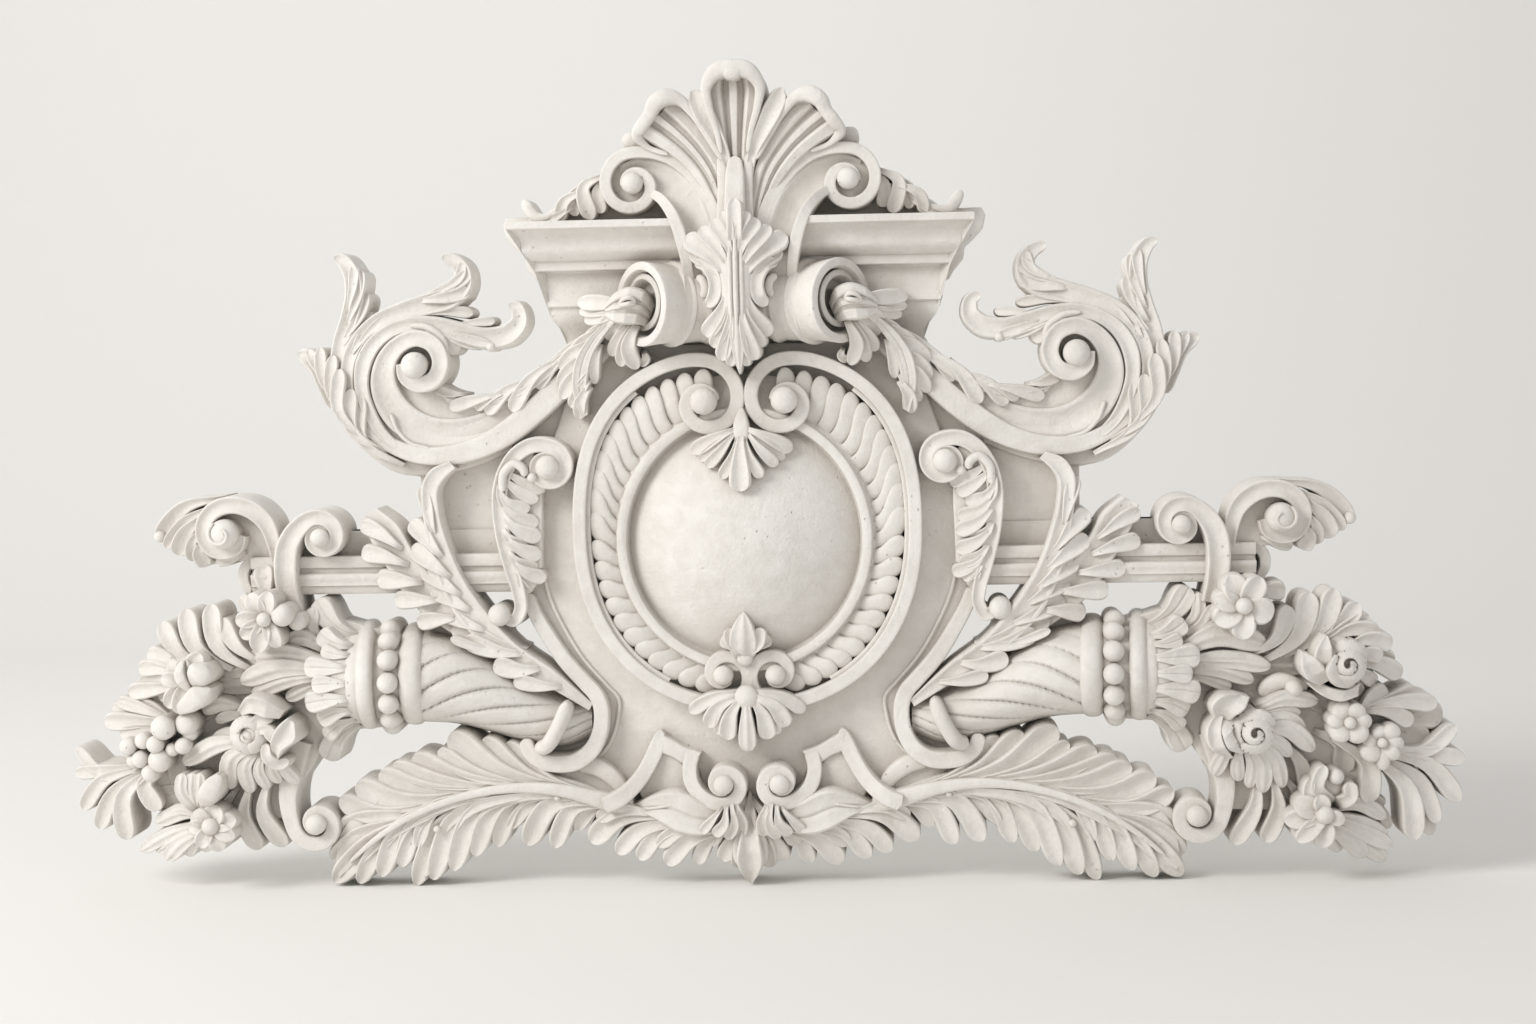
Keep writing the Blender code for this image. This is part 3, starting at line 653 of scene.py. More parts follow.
@dataclass(frozen=True)
class Plaster:
    """Matt white casting plaster, a little warm, with faint mottling, rubbed tool marks, pinholes and painted
    crevice shade.
    """

    light: tuple[float, float, float] = (0.85, 0.826, 0.79)
    dull: tuple[float, float, float] = (0.72, 0.69, 0.65)
    # Colour that the painted crevice shade and the pinholes darken the plaster towards.
    shade_and_pit_colour: tuple[float, float, float] = (0.50, 0.465, 0.42)
    roughness: float = 0.78
    gloss: float = 0.35
    grain: float = 0.0016
    cloud_scale: float = 9.0
    rub_scale: float = 70.0
    fine_scale: float = 260.0
    pit_scale: float = 95.0
    # Reach and strength of the painted shade that an occlusion node lays in creases and recesses.
    painted_shade_reach: float = 0.03
    painted_shade_strength: float = 0.85
    mottling: float = 0.75
    pit_strength: float = 0.45
    name: str = "casting_plaster"

    def material(self) -> bpy.types.Material:
        """Makes the finish in object coordinates.

        Returns:
            The material.
        """
        made = bpy.data.materials.new(self.name)
        nodes = Nodes(made)
        place = nodes.add("ShaderNodeTexCoord", {}, {}, "Object")
        cloud, fine, rub = (nodes.add("ShaderNodeTexNoise", {}, {"Vector": place, "Scale": scale, "Detail":
            detail, kind: amount}) for scale, detail, kind, amount in (
            (self.cloud_scale, 5.0, "Roughness", 0.6), (self.fine_scale, 4.0, "Roughness", 0.7),
            (self.rub_scale, 4.0, "Distortion", 0.6),
        ))
        cells = nodes.add("ShaderNodeTexVoronoi", {}, {"Vector": place, "Scale": self.pit_scale}, "Distance")
        holes = nodes.add("ShaderNodeValToRGB", {"stops": ((0.05, 1.0), (0.14, 0.0))}, {"Fac": cells})
        patches = nodes.add("ShaderNodeValToRGB", {"stops": ((0.52, 0.0), (0.62, 1.0))}, {"Fac": cloud})
        pits = holes * patches
        # Painted shade: an occlusion node darkens the base colour in creases, recesses and gaps between parts.
        shade = nodes.add("ShaderNodeAmbientOcclusion", {"samples": 6}, {"Distance": self.painted_shade_reach}, "AO")
        depth = (1.0 - shade) * self.painted_shade_strength
        worn = cloud * 0.55 + rub * 0.3 + fine * 0.15
        tone = nodes.add("ShaderNodeValToRGB", {"stops": ((0.41, 1.0), (0.59, 0.0))}, {"Fac": worn})
        body = self.mix(nodes, tone * self.mottling, self.light, self.dull)
        # The painted crevice shade, with the pinhole specks laid over it, darkens the base colour.
        painted_shade_and_pits = depth + pits * self.pit_strength * (1.0 - depth)
        nodes.feed("Base Color", self.mix(nodes, painted_shade_and_pits, body, self.shade_and_pit_colour))
        nodes.feed("Roughness", self.roughness + 0.14 * (worn - 0.5))
        surface = fine * 0.8 + rub * 0.9 - pits * 1.1
        relief = {"Strength": 0.7, "Distance": self.grain, "Height": surface}
        bump = nodes.add("ShaderNodeBump", {}, relief, "Normal")
        nodes.feed("Normal", bump)
        nodes.shader.inputs["Metallic"].default_value = 0.0
        nodes.shader.inputs["Specular IOR Level"].default_value = self.gloss
        return made

    def mix(self, nodes: Nodes, share: Link, first: Any, second: Any) -> Link:
        """Mixes two colours.

        Args:
            nodes: the material's nodes.
            share: how much of the second there is.
            first: a link or three numbers.
            second: a link or three numbers.

        Returns:
            The mixed colour.
        """
        made = nodes.tree.nodes.new("ShaderNodeMix")
        made.data_type = "RGBA"
        nodes.tree.links.new(share.socket, made.inputs["Factor"])
        for name, value in (("A", first), ("B", second)):
            socket = next(item for item in made.inputs if item.name == name and item.type == "RGBA")
            plug(nodes.tree, socket, value if isinstance(value, Link) else (*value, 1.0))
        return Link(nodes.tree, next(item for item in made.outputs if item.type == "RGBA"))


@dataclass
class Assembly:
    """One sub-assembly of the casting: a half carved on both sides, and what stands in the middle."""

    name: str = "carving"
    seed: int = 0

    def half(self, carve: Carver) -> None:
        """Carves the right half, which is mirrored for the left."""

    def middle(self, carve: Carver) -> None:
        """Carves what isn't mirrored."""

    def build(self, finish: bpy.types.Material) -> bpy.types.Object:
        """Carves the whole sub-assembly and dresses it.

        Args:
            finish: the material of its surface.

        Returns:
            The piece, riding on the frame.
        """
        carve = Carver(self.seed)
        for carve.side in (1.0, -1.0):
            self.half(carve)
        carve.side = 1.0
        self.middle(carve)
        made = carve.piece(self.name)
        made.data.materials.append(finish)
        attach(made, "root")
        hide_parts(NODE)
        LOG.info("%s: %d faces", made.name, len(made.data.polygons))
        return made


@dataclass
class Ground(Assembly):
    """The boards that the carving stands on, and the straps that edge the shield."""

    name: str = "shield_board"
    seed: int = 1
    board: float = 26.0
    field_height: float = 34.0
    flower_bed: float = 45.0
    web_height: float = 42.0
    core_height: float = 52.0
    soft_edge: float = 3.0
    shield: tuple[Place, ...] = (
        (60, 204), (120, 214), (150, 196), (178, 160), (196, 110), (214, 60), (226, 0), (228, -50),
        (214, -80), (194, -115), (157, -150), (152, -180), (160, -206), (176, -222), (150, -236), (134, -246),
        (112, -226), (95, -192), (58, -208), (57, -224), (50, -246), (34, -258),
    )
    back_board: tuple[Place, ...] = (
        (70, 318), (182, 205), (196, 170), (240, 115), (300, 90), (333, 84), (333, 21), (505, 21),
        (505, -42), (240, -42), (224, -55), (194, -119), (150, -156), (150, -212), (150, -262), (40, -282),
    )
    crest_board: tuple[Place, ...] = (
        (52, 300), (64, 336), (90, 352), (100, 384), (76, 390), (66, 410), (40, 428), (22, 440),
    )
    crest_core: tuple[Place, ...] = (
        (24, 290), (34, 330), (50, 362), (72, 384), (88, 398), (76, 418), (62, 430), (44, 436), (30, 438),
        (18, 446),
    )
    crest_side: tuple[Place, ...] = (
        (60, 318), (190, 318), (188, 333), (152, 350), (139, 372), (127, 390), (100, 394), (66, 350),
    )
    horn_board: tuple[Place, ...] = (
        (150, -156), (192, -136), (238, -96), (250, -64), (276, -58), (330, -84), (330, -150), (232, -184),
        (212, -214), (176, -212), (152, -190),
    )
    foot_web: tuple[Place, ...] = (
        (128, -240), (158, -214), (200, -206), (246, -212), (300, -236), (300, -252), (240, -250), (150, -264),
        (118, -262),
    )
    bed: tuple[Place, ...] = (
        (372, -80), (450, -56), (540, -84), (616, -112), (630, -184), (630, -222), (606, -258), (560, -280),
        (520, -272), (466, -270), (462, -236), (446, -214), (430, -182), (372, -178),
    )

    def half(self, carve: Carver) -> None:
        """Carves the side boards, and the shield's edging strap that turns up under the horn's tail.

        Args:
            carve: the carver.
        """
        carve.slab(self.crest_side, self.board - 1.5)
        carve.slab(self.horn_board, self.board)
        carve.slab(self.bed, self.flower_bed)
        carve.slab(self.foot_web, self.web_height, self.soft_edge)
        strap = [
            (225, -44, 6.5, 47), (218, -62, 7, 47), (206, -84, 7.5, 47), (188, -112, 8, 47),
            (166, -137, 8, 48), (157, -147, 8, 49), (153, -155, 8, 50), (151, -170, 8, 52),
            (154, -188, 8, 55), (163, -204, 8.5, 57), (178, -214, 9, 58), (196, -216, 9, 58),
            (212, -213, 8.5, 58), (224, -204, 8, 57), (229, -190, 7, 55),
        ]
        carve.band(strap, Section.STRAP, 190, ends=(6, 6))
        fillet = [
            (212, 4, 2, 37.5), (203, -48, 2, 37.5), (188, -82, 2, 37.5), (170, -112, 2, 37.5),
            (146, -140, 2, 37.5), (135, -153, 2, 37.5), (136, -172, 2, 37.5), (146, -200, 2, 37.5),
            (164, -219, 2, 37.5),
        ]
        carve.band(fillet, Section.CABLE, 100)

    def middle(self, carve: Carver) -> None:
        """Carves the boards that run across the middle.

        Args:
            carve: the carver.
        """
        for outline, height, edge in (
            (self.back_board, self.board, 1.8), (self.shield, self.field_height, self.soft_edge),
            (self.crest_board, self.board, 1.8), (self.crest_core, self.core_height, 4.0),
        ):
            carve.slab(outline + tuple((-x, z) for x, z in reversed(outline)), height, edge)


@dataclass
class Cornice(Assembly):
    """The broken cornice: fillet, cyma, lower fillet, frieze and the ogee at its foot."""

    name: str = "cornice"
    seed: int = 2
    top: float = 327.0
    projection: float = 92.0
    start: float = 58.0
    return_x: float = 195.0
    flare: float = 0.72
    taper: float = 1.1
    back_edge: tuple[Place, ...] = (
        (190, 334), (228, 335), (239, 335), (243, 327), (240, 314), (231, 304), (222, 296), (220, 284),
        (210, 272), (206, 265), (197, 260), (199, 247), (196, 238), (186, 231), (179, 219), (178, 206),
        (160, 206),
    )

    def profile(self) -> list[Place]:
        """The cornice's section.

        Returns:
            (z, height) places from its top to the foot of its frieze.
        """
        crown = [(self.top, 60.0), (self.top, self.projection - 1), (self.top - 1, self.projection)]
        fillet = [(320.0, self.projection), (319.0, self.projection - 1), (318.4, 87.0)]
        lower = [(289.4, 63.0), (288.6, 61.5), (288.4, 59.0), (280.0, 58.5), (279.0, 57.5), (278.4, 47.0)]
        frieze = [(277.0, 45.5), (250.0, 45.0), (248.6, 46.0), (244.0, 46.0), (243.0, 44.0)]
        cyma = ogee((318.0, 86.0), (289.8, 64.0), False, 16)
        return crown + fillet + cyma + lower + frieze + ogee((242.0, 42.0), (206.0, 28.0), True, 10)

    def stop(self, height: float) -> float:
        """Where the moulding returns to the wall, for one height of its profile."""
        return self.return_x + self.flare * max(0.0, height - 44.0) - self.taper * max(0.0, 42.0 - height)

    def half(self, carve: Carver) -> None:
        """Carves the moulding from behind the crest to its return, and the rough edge behind it.

        Args:
            carve: the carver.
        """
        profile = self.profile()
        carve.moulding(self.start, profile, [self.stop(height) for _, height in profile])
        carve.slab(self.back_edge, 24.0, 3.0)


@dataclass
class Crest(Assembly):
    """The shell at the top and the scroll on each side of it."""

    name: str = "shell_crest"
    seed: int = 3
    eye: Place = (106, 362)

    def half(self, carve: Carver) -> None:
        """Carves the side lobes, the scroll and the leaves beyond it.

        Args:
            carve: the carver.
        """
        carve.blade([(6, 350), (9, 392), (18, 420), (28, 441), (37, 452), (43, 453)], [
            (12, 350), (18, 386), (32, 408), (44, 427), (49, 441), (46, 451),
        ], (62, 70, 77, 80, 78), depth=1.2)
        carve.blade([
            (9, 296), (10, 345), (16, 380), (30, 406), (48, 430), (62, 445),
        ], [
            (22, 296), (28, 335), (42, 362), (62, 385), (82, 399), (100, 409),
        ], (92, 80, 69, 69, 73, 75), Section.FLUTED, count=44, depth=0.8)
        lip = [
            (17, 384, 2.4, 72), (31, 408, 3, 75), (46, 431, 4, 78), (57, 443, 6, 82), (70, 446, 8.5, 85),
            (81, 440, 8, 85), (87, 429, 6.5, 81), (94, 420, 6.5, 80), (100, 410, 5.5, 75),
            (93, 401, 3.5, 68), (70, 391, 2.4, 66),
        ]
        carve.band(lip, Section.CROWNED, 110, ends=(9, 9), depth=0.9)
        carve.lobe(((92, 400), (104, 407), (118, 407)), 8.5, (44, 46), Section.CROWNED)
        carve.blade([
            (22, 264), (28, 325), (44, 360), (66, 381), (88, 389), (106, 389), (120, 383),
        ], [
            (52, 264), (59, 316), (70, 337), (86, 351), (98, 358), (108, 362), (118, 366),
        ], (82, 91, 82, 66, 57, 54, 53), Section.HOLLOW, count=60, depth=0.65)
        rim = [(18, 284, 7, 94), (20, 306, 7, 91), (26, 332, 7.5, 78), (38, 357, 7.5, 66), (54, 377, 7, 62),
               (74, 390, 6.5, 62), (92, 394, 6, 63)]
        carve.band(rim + volute(self.eye, 84, -440, (32.5, 7), (6, 6), (63, 62), 1.05)[1:], Section.STRAP, 170)
        carve.band([
            (50, 262, 5.5, 80), (52, 284, 5.5, 93), (55, 300, 6, 97), (60, 318, 6, 96), (68, 335, 5.5, 89),
            (80, 349, 5, 70), (96, 357, 4, 55),
        ], Section.STRAP, 70)
        carve.eye(107, 364, 11, 71)
        carve.ball(106, 363, 27, 53, 0.25)
        for path, wide, low, high, section in (
            (((128, 372), (142, 360), (140, 336)), 7.5, 50, 48, Section.SPOON),
            (((134, 374), (156, 362), (150, 330)), 9, 54, 48, Section.SPOON),
            (((144, 370), (168, 352), (166, 334)), 7, 48, 44, Section.SPOON),
            (((150, 360), (178, 346), (182, 329)), 7, 50, 46, Section.SPOON),
            (((156, 356), (184, 338), (196, 329)), 6.5, 46, 42, Section.CROWNED),
            (((166, 344), (196, 330), (214, 332)), 6.5, 48, 42, Section.SPOON),
            (((176, 340), (206, 334), (219, 351)), 6, 46, 44, Section.CROWNED),
        ):
            carve.lobe(path, wide, (low, high), section, Shape.CLUB)

    def middle(self, carve: Carver) -> None:
        """Carves the middle flute under its rolled lip, and the stem below it.

        Args:
            carve: the carver.
        """
        carve.blade([(-22, 352), (-21, 385), (-25, 410), (-31, 436), (-34, 455), (-26, 470)],
                    [(14, 352), (13, 385), (17, 410), (23, 436), (26, 452), (18, 470)], (68, 70, 74, 78, 78),
                    Section.FLUTED, count=40, depth=0.95)
        cap = [
            (-17, 390, 2.4, 75), (-21, 412, 3, 79), (-28, 436, 4, 83), (-30, 455, 5.5, 87),
            (-21, 468, 8, 91), (-12, 471.5, 9, 92), (-4, 470, 10.5, 93), (4, 471.5, 9, 92), (13, 468, 8, 91),
            (22, 455, 5.5, 87), (20, 436, 4, 83), (13, 412, 3, 79), (9, 390, 2.4, 75),
        ]
        carve.band(cap, Section.CROWNED, 130, ends=(9, 9), depth=0.9)
        carve.band([
            (-4, 296, 10, 98), (-4, 326, 10.5, 95), (-4, 352, 10, 85), (-4, 372, 9, 77), (-4, 388, 6, 71),
        ], Section.STRAP, 40, ends=(0, 5), depth=0.8)
        carve.band([(9, 300, 5, 95), (9, 330, 5, 86), (8, 356, 5.5, 76), (9, 378, 5, 71), (10, 392, 4.5, 68)],
                   Section.PAD, 30)
        carve.band([
            (-17, 300, 5, 95), (-17, 330, 5, 86), (-16, 356, 5.5, 76), (-17, 376, 5, 71), (-18, 386, 4, 68),
        ], Section.PAD, 30)


@dataclass
class Keystone(Assembly):
    """The keystone's acanthus between two cushion volutes, with the leaves that hang from them."""

    name: str = "keystone"
    seed: int = 4
    face: tuple[float, float, float] = (99.0, 244.0, 84.0)
    turn: float = 48.0

    def half(self, carve: Carver) -> None:
        """Carves a cushion volute, its curled leaf head and the leaves below.

        Args:
            carve: the carver.
        """
        stack = (
            (84, 30), (72, 33), (62, 32), (52, 33), (46, 35), (42, 38), (40, 42), (37.5, 43), (35, 42),
            (33.5, 39.5), (31, 38.8), (24, 39.5), (14, 40.5), (6, 41.5), (2.5, 42), (0.6, 41.4), (0, 40.4),
            (0, 34), (1, 33), (4, 32), (12, 31), (20, 29), (24, 24), (25, 12),
        )
        carve.drum(self.face, self.turn, stack)
        inner = ((20, 20), (10, 27), (5, 28.5), (4, 27), (4, 23), (6, 21), (16, 18), (20, 10))
        carve.drum((101, 246, 78), self.turn, inner, 40)
        neck = (
            (66, 20), (62, 35), (36, 38), (34, 41), (30, 42), (26, 40), (22, 39), (8, 40), (4, 42), (0, 40),
            (0, 8),
        )
        carve.drum((66, 245, 55), 78, neck)
        carve.blade([(86, 242), (93, 256), (107, 261), (124, 255), (134, 244)],
                    [(94, 222), (103, 224), (113, 224), (124, 226), (134, 232)], (80, 99, 102, 97, 86),
                    Section.FLUTED, count=44, depth=0.7)
        for lift in (5, -2):
            carve.band([
                (102, 245, 1.8, 102), (106, 246 + lift * 0.7, 2.3, 106), (113, 245 + lift * 0.8, 2.3, 106),
                (119, 243, 1.8, 101),
            ], Section.CABLE, 22, ends=(2, 2))
        carve.fingers((
            (112, 244, 136, 246, 164, 247, 8.5, 92, 66), (116, 240, 138, 238, 163, 238, 6, 90, 62),
            (118, 236, 138, 232, 158, 229, 7, 92, 62), (118, 232, 130, 230, 138, 222, 7, 94, 74),
            (112, 232, 128, 222, 134, 209, 8, 88, 66), (110, 226, 122, 210, 133, 194, 8, 84, 62),
            (106, 226, 116, 206, 123, 183, 8, 86, 62), (104, 224, 113, 200, 106, 180, 8, 88, 64),
            (100, 198, 97, 190, 104, 184, 5, 64, 60),
        ))
        carve.blade([(118, 234), (136, 214), (148, 196), (155, 172), (157, 136)],
                    [(130, 232), (156, 208), (168, 188), (172, 164), (164, 132)], (80, 76, 68, 62, 56),
                    Section.VEINED)
        carve.fingers((
            (132, 228, 148, 216, 160, 203, 7, 76, 62), (140, 220, 160, 206, 173, 192, 8, 74, 58),
            (148, 208, 168, 198, 185, 182, 8, 68, 56), (150, 196, 170, 184, 186, 166, 8, 66, 56),
            (152, 184, 170, 172, 184, 152, 8, 66, 54), (154, 172, 166, 156, 175, 143, 7, 64, 54),
            (154, 164, 164, 148, 166, 131, 7, 64, 54), (142, 206, 148, 186, 150, 166, 6, 70, 56),
        ))

    def middle(self, carve: Carver) -> None:
        """Carves the tall leaf over the keystone.

        Args:
            carve: the carver.
        """
        carve.slab((
            (-38, 302), (32, 302), (34, 286), (28, 262), (26, 214), (10, 190), (-16, 190), (-32, 214),
            (-34, 262), (-42, 286),
        ), 88, 5)
        carve.band([
            (-3, 334, 8, 100), (-3, 306, 15, 109), (-3, 274, 18, 112), (-3, 242, 16, 110),
            (-3, 212, 11, 102), (-3, 188, 6, 92),
        ], Section.CROWNED, 60, ends=(6, 6), depth=0.8)
        for side in (1, -1):
            rows = (
                (2, 298, 6, 318, 13, 331, 7, 113, 109), (3, 286, 11, 308, 22, 324, 9, 113, 107),
                (5, 276, 20, 300, 34, 317, 8.5, 112, 104), (6, 266, 26, 292, 50, 308, 11, 111, 100),
                (5, 262, 24, 278, 45, 294, 7, 108, 98),
                (8, 256, 15, 234, 32, 211, 9.5, 110, 96), (6, 248, 11, 224, 25, 200, 8, 110, 95),
                (4, 240, 9, 212, 17, 187, 8.5, 110, 93), (3, 230, 5, 206, 8, 181, 6, 107, 90),
            )
            for x0, z0, x1, z1, x2, z2, wide, low, high in rows:
                path = ((side * x0 - 3, z0), (side * x1 - 3, z1), (side * x2 - 3, z2))
                carve.lobe(path, wide, (low, high), Section.SPOON, Shape.CLUB, 3.0)
            hook = [
                (41, 282, 5, 99), (31, 281, 6.5, 105), (23, 272, 7, 108), (20, 259, 7, 109),
                (23, 247, 7, 107), (30, 240, 5.5, 100),
            ]
            carve.band([(side * x - 3, z, wide, h) for x, z, wide, h in hook], Section.SPOON, 40, ends=(6, 6))
            inner = [(39, 270, 3.5, 95), (33, 265, 4, 99), (31, 257, 4, 99), (34, 249, 3.5, 95)]
            carve.band([(side * x - 3, z, wide, h) for x, z, wide, h in inner], Section.CROWNED, 20,
                       ends=(3, 3))
        carve.lobe(((-3, 300), (-3, 322), (-3, 344)), 8, (115, 110), Section.SPOON, Shape.TONGUE)
        carve.lobe(((-3, 240), (-3, 208), (-2, 173)), 8, (111, 92), Section.RIDGED, Shape.SPEAR)
        for shift, lift in ((0.0, 2.6), (5.5, 0.6), (-5.5, 0.6)):
            rib = [(-3 + shift * 0.6, 326, 1.4, 109 + lift), (-3 + shift, 300, 2.2, 111.5 + lift),
                   (-3 + shift, 270, 2.4, 113 + lift), (-3 + shift, 240, 2.4, 111 + lift),
                   (-3 + shift * 0.9, 222, 1.6, 106 + lift)]
            carve.band(rib, Section.CABLE, 60, ends=(4, 4))


@dataclass
class Cartouche(Assembly):
    """The oval: its rim with four volutes, the gadroons, the inner rim and the dome."""

    name: str = "oval_cartouche"
    seed: int = 5
    centre: Place = (-3.0, 20.0)
    half_width: float = 166.0
    rise: float = 172.0
    drop: float = 177.0
    dome_z: float = 8.0
    dome: Place = (116.0, 120.0)
    rim: float = 62.0
    gadroons: int = 23
    bed: Place = (122, 128)
    dome_edge: float = 44.0
    dome_swell: float = 45.0
    dome_rings: int = 20

    def place(self, angle: float, grow: float) -> Place:
        """A place on the squarish oval of the rim.

        Args:
            angle: angle about its middle.
            grow: how far outside the rim it is.

        Returns:
            The place.
        """
        c, s = math.cos(angle), math.sin(angle)
        power, high = (0.80, self.rise) if s > 0 else (0.90, self.drop)
        x = (self.half_width + grow) * math.copysign(abs(c) ** power, c)
        return x, self.centre[1] + (high + grow) * math.copysign(abs(s) ** power, s)

    def half(self, carve: Carver) -> None:
        """Carves the rim with its volutes and this side's gadroons.

        Args:
            carve: the carver.
        """
        sweep = [self.place(math.radians(a), 1.8) + (6.8, self.rim) for a in range(-72, 73, 6)]
        foot = volute((26, -127), -64, -430, (32, 6), (7, 5.5), (self.rim, 64), 1.15)
        head = volute((40, 146), 80, 450, (43, 8), (7.2, 7.5), (self.rim, 66), 1.35)
        carve.band(foot[::-1] + sweep[1:-1] + head, Section.STRAP, 340)
        step = [self.place(math.radians(a), -6.5) + (2.4, self.rim - 5) for a in range(-62, 57, 6)]
        carve.band(step, Section.PAD, 120)
        carve.eye(40, 147, 13.5, 80)
        carve.eye(26, -127, 10, 74)
        for k in range(self.gadroons):
            angle = math.radians(-80 + 158 * (k + 0.5) / self.gadroons)
            tip = self.place(angle + math.radians(5.0), -10.5)
            base = (self.bed[0] * math.cos(angle), self.dome_z + self.bed[1] * math.sin(angle))
            path = arch(base, tip, (math.cos(angle - 0.3), math.sin(angle - 0.3)), 0.5)
            carve.lobe(path, 10.2, (50, 57), Section.PAD, Shape.SCALLOP, 2.0, 0.2, 3.0)

    def middle(self, carve: Carver) -> None:
        """Carves the dome, its rim and the leaves above and below it.

        Args:
            carve: the carver.
        """
        x, z = self.centre[0], self.dome_z
        rings = [carve.ring((x, z), wide, high, level, 128) for wide, high, level in (
            (159, 166, 0), (159, 166, 40), (150, 157, 41.5), (140, 147, 44.5), (133, 139, 48.5),
            (129.5, 134.5, 51), (128.6, 133.4, 52), (128, 132.8, 57), (127, 131.8, 58.5), (125.4, 130.2, 59),
            (119.6, 124.4, 59), (118.2, 123, 58), (117.2, 122, 52), (116.6, 121.4, 46),
        )]
        for k in range(self.dome_rings):
            share = math.cos((k + 1) / (self.dome_rings + 1) * math.pi / 2)
            level = self.dome_edge + self.dome_swell * (1 - share**2.0)
            rings.append(carve.ring((x, z), self.dome[0] * share, self.dome[1] * share, level, 128))
        carve.sweep(np.array(rings))
        carve.lobe(((-3, 103), (-3, 118), (-3, 142)), 8.5, (80, 64), Section.PAD, Shape.SPEAR, 3.0)
        for side in (1, -1):
            for x0, z0, x1, z1, x2, z2, wide, low, high in (
                (4, 120, 26, 110, 50, 97, 8.5, 78, 67), (6, 116, 18, 100, 35, 82, 6.5, 79, 76),
                (3, 112, 9, 90, 20, 71, 6.5, 79, 85), (5, 118, 22, 106, 42, 88, 6.0, 76, 68),
                (4, -142, 32, -148, 58, -164, 7.5, 74, 64), (5, -146, 28, -158, 40, -179, 9, 76, 66),
                (3, -146, 16, -166, 21, -192, 9.5, 76, 66), (4, -146, 24, -164, 31, -187, 5, 73, 64),
                (2, -104, 14, -96, 25, -90, 7, 66, 66), (1, -108, 13, -96, 15, -79, 7, 68, 74),
            ):
                path = ((side * x0 - 3, z0), (side * x1 - 3, z1), (side * x2 - 3, z2))
                carve.lobe(path, wide, (low, high), Section.SPOON, Shape.CLUB, 4.0)
        carve.lobe(((-3, 116), (-4, 90), (-4, 58)), 11, (79, 91), Section.SPOON, Shape.CLUB, 4.0)
        carve.lobe(((-3, -142), (-3, -172), (-3, -204)), 9, (77, 67), Section.RIDGED, Shape.CLUB, 4.0)
        carve.ball(-3, -148, 12, 79, 0.6)
        carve.lobe(((-5, -112), (-5, -88), (-4, -62)), 14.5, (70, 80), Section.RIDGED, Shape.SPEAR, 5.0)
        carve.ball(-4, -110, 8, 70, 0.5)


